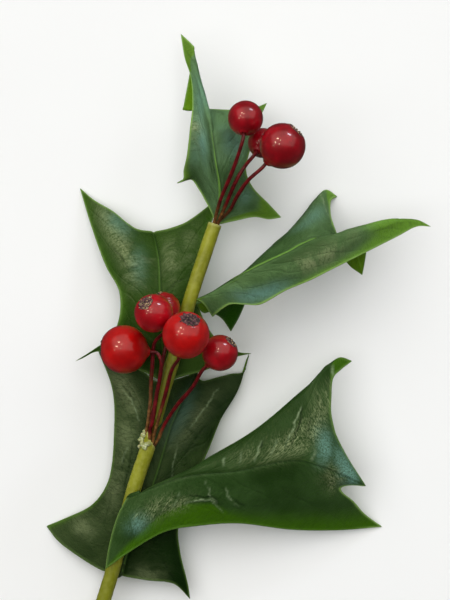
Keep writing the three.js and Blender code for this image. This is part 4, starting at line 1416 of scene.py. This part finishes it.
# %% Stem paths and their open ends
LOWER_STEM_PATH = [
    [-44.75, -126, 1.87], [-38, -102, 4.6], [-30.75, -76, 7.1], [-28.75, -69.5, 7.9],
    [-23, -47.75, 10.8], [-21.2, -42.25, 11.5], [-18.9, -35.7, 12.4], [-17.67, -32.2, 12.88],
]
UPPER_STEM_PATH = [
    [-17.4, -30, 13.25], [-15.3, -22.5, 14.2], [-12.75, -14.25, 15.2], [-8.75, 0, 16.4],
    [-5, 11.5, 16.8], [-2.5, 19, 16.8],
]
PEG_PATH = [[-17.9, -32, 12.6], [-18.15, -33, 12.35], [-18.6, -34.4, 11.85]]
PEG_FOOT = {"angle": -90, "out": 0.88, "mouth": 3.8}
LOWER_BORE_DEPTH = 9.4
UPPER_BORE_DEPTH = 6
FOOT_DEPTH = 0.5


def open_end(path):
    end = np.array(path[-1], float)
    along = unit(end - np.array(path[-2], float))
    right = unit(np.cross(along, [0.0, 0.0, 1.0]))
    return end, along, right, np.cross(right, along)


def in_bore(opening, foot, deepest):
    end, along, right, up = opening
    angle = math.radians(foot["angle"])
    line = end + (right * math.cos(angle) + up * math.sin(angle)) * foot["out"]
    depths = (deepest, (deepest + foot["mouth"]) / 2, foot["mouth"])
    return [line - along * depth for depth in depths]


lower_end = open_end(LOWER_STEM_PATH)
upper_end = open_end(UPPER_STEM_PATH)
print("the upper stem ends at", np.round(to_frame(upper_end[0]), 4))

# %% [markdown]
# ## The wires
# Each wire has a dark red plastic coat that swells a little past half way, where the coat is
# thick, and thins out at the foot, where the brown paper under it shows. The brown part is
# longer on some wires than on others, so each berry says how long it is.

# %% One wire
STALK_RADIUS = 0.45
WIRE_SIDES = 16
WIRE_STEPS = 90
SWELL_HEIGHT, SWELL_PLACE, SWELL_WIDTH = 0.07, 0.62, 0.13
FOOT_THINNING, FOOT_WIDTH = -0.04, 0.2


def wire_radius(share):
    middle_swell = SWELL_HEIGHT * math.exp(-((share - SWELL_PLACE) / SWELL_WIDTH) ** 2)
    thin_foot = FOOT_THINNING * math.exp(-(share / FOOT_WIDTH) ** 2)
    return STALK_RADIUS + middle_swell + thin_foot


def wire_piece(name, berry, finish):
    is_upper = name.startswith("top_")
    opening, depth = (upper_end, UPPER_BORE_DEPTH) if is_upper else (lower_end, LOWER_BORE_DEPTH)
    way = unit(np.array(berry["crown"], float))
    middle = np.array(berry["middle"], float)
    radius = berry["diameter"] / 2
    neck = radius + berry["diameter"] * NECK_LENGTH
    ends = [middle - way * distance for distance in (neck + 1.6, neck, neck - 0.9)]
    path = [*in_bore(opening, berry["foot"], depth - FOOT_DEPTH), *berry["stalk"], *ends]
    places, faces, travelled, length = sweep(path, wire_radius, WIRE_SIDES, WIRE_STEPS)
    hidden = depth - FOOT_DEPTH - berry["foot"]["mouth"]
    share = (travelled - hidden) / berry["brown"]
    piece = new_mesh("holly_stalk_" + name, places, faces, {"from_mouth": share})
    print(piece.name, "is", round(length, 1), "mm long")
    return stands_for(piece, "stalk_" + name, finish)


print("a wire is", round(wire_radius(SWELL_PLACE) * 2, 2), "mm thick where it swells")

# %% The coat of the wires
def coated_wire():
    f = Finish("coated_wire")
    streak = f.noise(1.2, 3)
    brown = 1 - (f.measure("from_mouth") + streak * 0.5 - 0.25).above(0.45, 0.5)
    red = f.blend(streak.above(0.4, 0.3), (0.07, 0.0025, 0.004), (0.16, 0.005, 0.008))
    paper = f.blend(streak.above(0.4, 0.25), (0.09, 0.03, 0.008), (0.22, 0.1, 0.022))
    normal = f.bump(f.noise(0.5, 3), 0.25, 0.1)
    colour, rough = f.blend(brown, red, paper), 0.32 + brown * 0.2
    return f.feed(Base_Color=colour, Roughness=rough, Normal=normal, Specular_IOR_Level=0.4)


wire_finish = coated_wire()
for berry_name, berry in BERRIES.items():
    wire_piece(berry_name, berry, wire_finish)

# %% [markdown]
# ## The two stem tubes
# The stem is two lengths of soft plastic tube, the upper one plugged into the lower one. The
# lower tube was torn open on a slant where the wires go in, and the upper one is cut square.
# A boolean would cut the bore, but it leaves ragged shading. Here the rings run up the outside,
# over the rim and down the inside, and each line of vertices knows where its own rim is.

# %% A tube with a bore and its own rim
TUBE_SIDES = 72
PATH_SAMPLES = 600
BUTT_SHARES = (0.3, 0.7, 0.93)
EDGE_ROUNDING = 0.12
RIM_DRAW_IN = 0.08
SKIN_HEIGHT, SKIN_RATE = 0.05, 0.9
BORE_RINGS = 12


def tube_piece(name, path, radius_at, bore_radius, bore_depth, rim_at, steps):
    curve = curve_through(path)
    dense = np.linspace(0, 1, PATH_SAMPLES)
    line = curve(dense)
    frames = carried_frames(line)
    angles = turn(TUBE_SIDES)

    def read(track, share):
        return np.stack([np.interp(share, dense, track[:, i]) for i in range(3)], axis=-1)

    def places_at(distances, radii):
        share = distances / curve.length
        right, up = read(frames[:, 0], share), read(frames[:, 1], share)
        out = right * np.cos(angles)[:, None] + up * np.sin(angles)[:, None]
        return read(line, share) + out * radii[:, None]

    rim = rim_at(places_at, curve.length, angles)
    whole = np.ones(TUBE_SIDES)
    rings, travelled, inside = [], [], []

    def ring(distances, radii, is_inside):
        rings.append(places_at(distances, radii))
        travelled.append(distances)
        inside.append(whole * is_inside)

    for radius in BUTT_SHARES:
        ring(whole * 0.0, whole * radius_at(0.0) * radius, 0.5)
    for share in np.linspace(0, 1, steps + 1):
        distances = rim * share + EDGE_ROUNDING * (share == 0)
        radii = np.array([radius_at(distance) for distance in distances])
        skin = [noise.noise(Vector(p) * SKIN_RATE) for p in places_at(distances, radii)]
        radii = radii + SKIN_HEIGHT * np.array(skin)
        ring(distances, radii - RIM_DRAW_IN * (share == 1), 0)
    wall = radius_at(curve.length) - bore_radius
    ring(rim + 0.06, whole * (bore_radius + wall * 0.6), 0.5)
    ring(rim, whole * (bore_radius + wall * 0.1), 0.5)
    bottom = curve.length - bore_depth
    for share in np.linspace(0.06, 1, BORE_RINGS):
        ring(rim * (1 - share) + bottom * share, whole * bore_radius, 1)
    ring(whole * bottom, whole * bore_radius * 0.4, 1)
    index = numbered(len(rings), TUBE_SIDES)
    faces = [*ring_faces(index), index[0], index[-1][::-1]]
    measures = {"inside": np.array(inside), "to_rim": rim[None] - np.array(travelled)}
    return new_mesh("holly_" + name, np.array(rings).reshape(-1, 3), faces, measures)


print("sides of a tube:", TUBE_SIDES)

# %% [markdown]
# ## Two kinds of rim
# The lower tube's rim is where a slanting cut crosses each line of vertices, torn a little by
# two noises, and the upper one's is almost square. A rim is only a list with the length of each
# line, so any cut can be tried without touching the tube.

# %% Torn and square rims
LOWER_STEM_RADIUS = 1.85
LOWER_BORE_RADIUS = 1.52
UPPER_STEM_RADIUS = 1.75
UPPER_BORE_RADIUS = 1.35
PEG_RADIUS = 0.36
CUT_WAY = np.array([-0.885, -0.466, 0])
CUT_DISTANCE = 32.9
CUT_REACH, CUT_STEPS, CUT_END = 12, 240, 0.2
FRAY = 0.45


def torn_rim(places_at, length, angles):
    radii = np.full(len(angles), LOWER_STEM_RADIUS)
    rim = np.full(len(angles), length - CUT_END)
    for distance in np.linspace(length - CUT_REACH, length - CUT_END, CUT_STEPS):
        past = places_at(np.full(len(angles), distance), radii) @ CUT_WAY < CUT_DISTANCE
        rim = np.where(past & (rim > distance), distance, rim)
    fray = np.array([round_noise(angle, 2.6, 4) for angle in angles])
    fine = np.array([round_noise(angle, 8, 1) for angle in angles])
    return np.minimum(rim + FRAY * fray * 1.2 + FRAY * fine * 0.8, length - 0.1)


def square_rim(places_at, length, angles):
    return length - 0.08 + 0.08 * np.array([round_noise(angle, 3, 7) for angle in angles])


print("the torn rim frays by about", FRAY, "mm")

# %% [markdown]
# ## The tube's finish
# The plastic is a soft, blotchy yellow-green with fine pale streaks. It darkens towards the
# butt, is pale at the cut rim and brownish inside the bore. Those last three read the measures
# of the mesh, so they follow the torn rim without any painting.

# %% Soft green tube
def green_tube():
    f = Finish("green_tube")
    blotch = f.noise(6, 3).above(0.35, 0.35)
    streak = f.noise(1.1, 4).above(0.4, 0.3)
    colour = f.blend(blotch, (0.19, 0.2, 0.008), (0.27, 0.28, 0.018))
    colour = f.blend(streak * 0.25, colour, (0.42, 0.42, 0.09))
    far_down = f.measure("to_rim").above(8.0, 50.0)
    colour = f.blend(far_down * 0.6, colour, (0.11, 0.123, 0.004))
    near_rim = 1 - f.measure("to_rim").above(0.0, 0.9)
    colour = f.blend(near_rim * 0.7, colour, (0.42, 0.42, 0.13))
    colour = f.blend(f.measure("inside").above(0.6, 0.3), colour, (0.09, 0.085, 0.02))
    normal = f.bump(f.noise(0.7, 4), 0.3, 0.12)
    rough = 0.36 + streak * 0.15
    return f.feed(Base_Color=colour, Roughness=rough, Normal=normal, Specular_IOR_Level=0.35)


tube_finish = green_tube()
lower_stem = tube_piece(
    "stem_lower", LOWER_STEM_PATH, lambda distance: LOWER_STEM_RADIUS - 0.02,
    LOWER_BORE_RADIUS, LOWER_BORE_DEPTH, torn_rim, 260,
)
stands_for(lower_stem, "stem_lower", tube_finish)
print("the lower stem has", len(lower_stem.data.polygons), "faces")

# %% [markdown]
# ## The upper tube and its peg
# The upper tube is one sweep from the foot of its peg to its open end. Its radius grows from the
# thin peg to the full tube over a few millimetres, just outside the lower tube's mouth. A
# separate rod would leave a seam there.

# %% The upper stem with its peg
peg_foot = in_bore(lower_end, PEG_FOOT, LOWER_BORE_DEPTH - FOOT_DEPTH)
upper_path = [*peg_foot, *PEG_PATH[::-1], *UPPER_STEM_PATH]
peg_length = curve_through([*peg_foot, *PEG_PATH[::-1], UPPER_STEM_PATH[0]]).length
TAPER_LENGTH = 3.2


def upper_radius(distance):
    opening = smooth_step((distance - (peg_length - TAPER_LENGTH)) / TAPER_LENGTH)
    return PEG_RADIUS + (UPPER_STEM_RADIUS - 0.03 - PEG_RADIUS) * float(opening)


upper_stem = tube_piece(
    "stem_upper", upper_path, upper_radius, UPPER_BORE_RADIUS, UPPER_BORE_DEPTH, square_rim, 240,
)
stands_for(upper_stem, "stem_upper", tube_finish)
print("the peg is", round(peg_length, 1), "mm long")

# %% [markdown]
# ## The glue round the joint
# Hot glue was run round the torn rim, and it set in small pale lumps and a frayed fringe.
# Separate lumps would show seams where they meet, so small balls are joined by a voxel remesh
# and then roughened. The work is done in millimetres, because the remesh has a smallest cell.

# %% Lumps of glue
GLUE_LUMPS = [
    [-20.1, -32.9, 13.1, 0.55], [-20.5, -33.9, 13.4, 0.7], [-20.9, -34.9, 13.2, 0.75],
    [-21.45, -35.1, 12.4, 0.45], [-20.7, -36, 13.7, 0.7], [-21.4, -36.8, 12.6, 0.5],
    [-20.1, -36.9, 14.1, 0.65], [-19.6, -36.1, 14.3, 0.6], [-19, -35.9, 14.4, 0.55],
]
GLUE_CELL = 0.11
GLUE_ROUGHNESS = 0.13
BALL_RINGS, BALL_SEGMENTS, BALL_POLE = 14, 20, 0.15


def joined_lumps(lumps):
    mesh = bpy.data.meshes.new("lumps")
    angles = np.linspace(BALL_POLE, math.pi - BALL_POLE, BALL_RINGS)
    places, faces = [], []
    for x, y, z, radius in lumps:
        profile = [[radius * math.sin(angle), -radius * math.cos(angle)] for angle in angles]
        ball, ball_faces = spin(profile, np.array([x, y, z]), [0, 0, 1], BALL_SEGMENTS)
        faces += [[int(i) + len(places) for i in face] for face in ball_faces]
        places += ball.tolist()
    mesh.from_pydata(places, [], faces)
    lump = linked("lumps", mesh)
    remesh = lump.modifiers.new("join", "REMESH")
    remesh.mode = "VOXEL"
    remesh.voxel_size = GLUE_CELL
    smooth = lump.modifiers.new("melt", "SMOOTH")
    smooth.iterations = 3
    finished = lump.evaluated_get(bpy.context.evaluated_depsgraph_get())
    melted = bpy.data.meshes.new_from_object(finished)
    bpy.data.objects.remove(lump)
    places = np.array([vertex.co for vertex in melted.vertices])
    normals = np.array([vertex.normal for vertex in melted.vertices])
    faces = [list(face.vertices) for face in melted.polygons]
    vectors = [Vector(place) for place in places]
    rough = np.array([noise.noise(v * 2.4) + 0.6 * noise.noise(v * 6) for v in vectors])
    return places + normals * rough[:, None] * GLUE_ROUGHNESS, faces


def set_glue():
    f = Finish("set_glue")
    milky = f.noise(0.8, 3).above(0.4, 0.25)
    colour = f.blend(milky, (0.3, 0.3, 0.1), (0.55, 0.54, 0.28))
    normal = f.bump(f.noise(0.35, 3), 0.5, 0.12)
    return f.feed(Base_Color=colour, Roughness=0.4, Normal=normal, Subsurface_Weight=0.15)


glue_places, glue_faces = joined_lumps(GLUE_LUMPS)
glue = new_mesh("holly_glue", glue_places, glue_faces, {})
stands_for(glue, "glue_collar", set_glue())
print("the glue has", len(glue_faces), "faces")

# %% [markdown]
# ## The studio
# The sprig lies on a pale floor. Three nested soft panels stand on the far side: the berries
# mirror them in their far halves, and the nesting fades the mirrored edge. One wide lamp, which
# isn't mirrored, lights everything evenly. One panel would be simpler, but its edge would cut
# each berry like a window.

# %% Floor
STAGE_REACH = 9
CORNERS = [
    (-STAGE_REACH, -STAGE_REACH), (STAGE_REACH, -STAGE_REACH),
    (STAGE_REACH, STAGE_REACH), (-STAGE_REACH, STAGE_REACH),
]
floor_mesh = bpy.data.meshes.new("floor")
floor_mesh.from_pydata([(*corner, 0) for corner in CORNERS], [], [[0, 1, 2, 3]])
floor = linked("floor", floor_mesh)
floor_finish = Finish("pale_floor")
floor_colour = floor_finish.blend(floor_finish.noise(60, 2), (0.86, 0.86, 0.86), (0.9, 0.9, 0.9))
floor.data.materials.append(floor_finish.feed(Base_Color=floor_colour, Roughness=0.9))
floor.visible_glossy = False
print("floor:", floor.dimensions[:2])

# %% [markdown]
# ## Lamps and sparkles
# Each lamp is a rectangle that faces the head, and its energy grows with its area, so a larger
# lamp is softer and not brighter. A glossy ball mirrors a lamp where its skin is half way
# between the lamp and the eye, so each sparkle is placed by where a berry should show it, in
# parts of its radius to the right and up. The small warm lamps that make the sparkles light
# nothing else.

# %% Lights
HEAD = Vector(to_frame([0, 0, 0]))
PANEL_WAY, PANEL_DISTANCE, PANEL_GAP = (0.1, 0.62, 0.78), 1.5, 50
PANEL_WIDTH, PANEL_HEIGHT, PANEL_BRIGHTNESS = 5.4, 2.8, 0.23
PANEL_COLOUR, SPARKLE_COLOUR = (1, 1, 0.92), (1, 0.84, 0.58)
SPARKLE_DISTANCE = 1.3
SPARKLES = [
    (-0.2, 0.3, 0.14, 32), (-0.29, 0.14, 0.12, 34), (-0.14, 0.06, 0.08, 30),
    (-0.09, 0.22, 0.08, 30), (-0.36, 0, 0.07, 26),
]


def lamp_towards_head(name, way, distance, width, height, brightness, colour):
    light = bpy.data.lights.new(name, "AREA")
    light.shape = "RECTANGLE"
    light.size, light.size_y = width, height
    light.energy = brightness * math.pi * width * height
    light.color = colour
    lamp = linked(name, light)
    back = Vector(way).normalized()
    across = Vector((1, 0, 0))
    side = (across - back * back.dot(across)).normalized()
    facing = Matrix((side, back.cross(side), back)).transposed()
    lamp.matrix_world = Matrix.Translation(HEAD + back * distance) @ facing.to_4x4()
    lamp.visible_camera = False
    return lamp


for share in (0.72, 0.86, 1.0):
    width, height = PANEL_WIDTH * share, PANEL_HEIGHT * share
    distance = PANEL_DISTANCE + share / PANEL_GAP
    panel = (PANEL_WAY, distance, width, height, PANEL_BRIGHTNESS, PANEL_COLOUR)
    lamp_towards_head("far_panel", *panel)
lamp_towards_head("cool_lamp", (0.47, 0.8, 0.37), 1.2, 0.3, 0.14, 16, (0.8, 0.86, 1))
for right, up, size, brightness in SPARKLES:
    level = math.sqrt(1 - right * right - up * up)
    way = (2 * level * right, 2 * level * up, 2 * level * level - 1)
    sparkle = (way, SPARKLE_DISTANCE, size, size * 0.8, brightness, SPARKLE_COLOUR)
    lamp = lamp_towards_head("warm_lamp", *sparkle)
    lamp.visible_diffuse = False
fill = lamp_towards_head("soft_fill", (-0.28, 0.25, 0.92), 4.2, 6.0, 6.0, 1.9, (1, 1, 1))
fill.visible_glossy = False

# %% [markdown]
# ## The room and its walls
# The room is dim, so that the shadows come from the lamps. From the side the camera would look
# past the floor into that darkness, so four pale walls stand round it. They glow a little,
# light nothing and aren't mirrored: only the camera sees them. A paler room would wash out the
# shadows.

# %% The room
ROOM_GREY = (0.04, 0.04, 0.04, 1)
room = bpy.data.worlds.new("room")
room.use_nodes = True
room.node_tree.nodes["Background"].inputs["Color"].default_value = ROOM_GREY
bpy.context.scene.world = room
bpy.context.scene.view_settings.view_transform = "Standard"
print("view transform:", bpy.context.scene.view_settings.view_transform)

# %% Walls
WALL_FOOT, WALL_TOP = -0.5, 8
wall_mesh = bpy.data.meshes.new("walls")
wall_mesh.from_pydata(
    [(*corner, height) for height in (WALL_FOOT, WALL_TOP) for corner in CORNERS], [],
    [(i, (i + 1) % 4, (i + 1) % 4 + 4, i + 4) for i in range(4)],
)
walls = linked("walls", wall_mesh)
paper = Finish("pale_paper")
tint = paper.blend(paper.noise(900, 2), (0.78, 0.78, 0.78), (0.82, 0.82, 0.82))
glow = {"Emission_Color": tint, "Emission_Strength": 1.0}
walls.data.materials.append(paper.feed(Base_Color=(0, 0, 0, 1), **glow))
walls.visible_glossy = walls.visible_diffuse = walls.visible_shadow = False
print("walls:", walls.dimensions[:3])

# %% [markdown]
# ## The camera
# The camera hangs straight above the middle of the head and looks down. A long lens from 0.6 m
# keeps the leaves that rise towards it from looking too large.

# %% Camera
CAMERA_HEIGHT = 0.6
FOCAL_LENGTH, SENSOR_WIDTH = 140.4, 36
lens = bpy.data.cameras.new("camera")
lens.lens = FOCAL_LENGTH
lens.sensor_width = SENSOR_WIDTH
camera = linked("camera", lens)
camera.location = HEAD + Vector((0, 0, CAMERA_HEIGHT))
bpy.context.scene.camera = camera
print("the camera is at", tuple(round(value, 4) for value in camera.location))
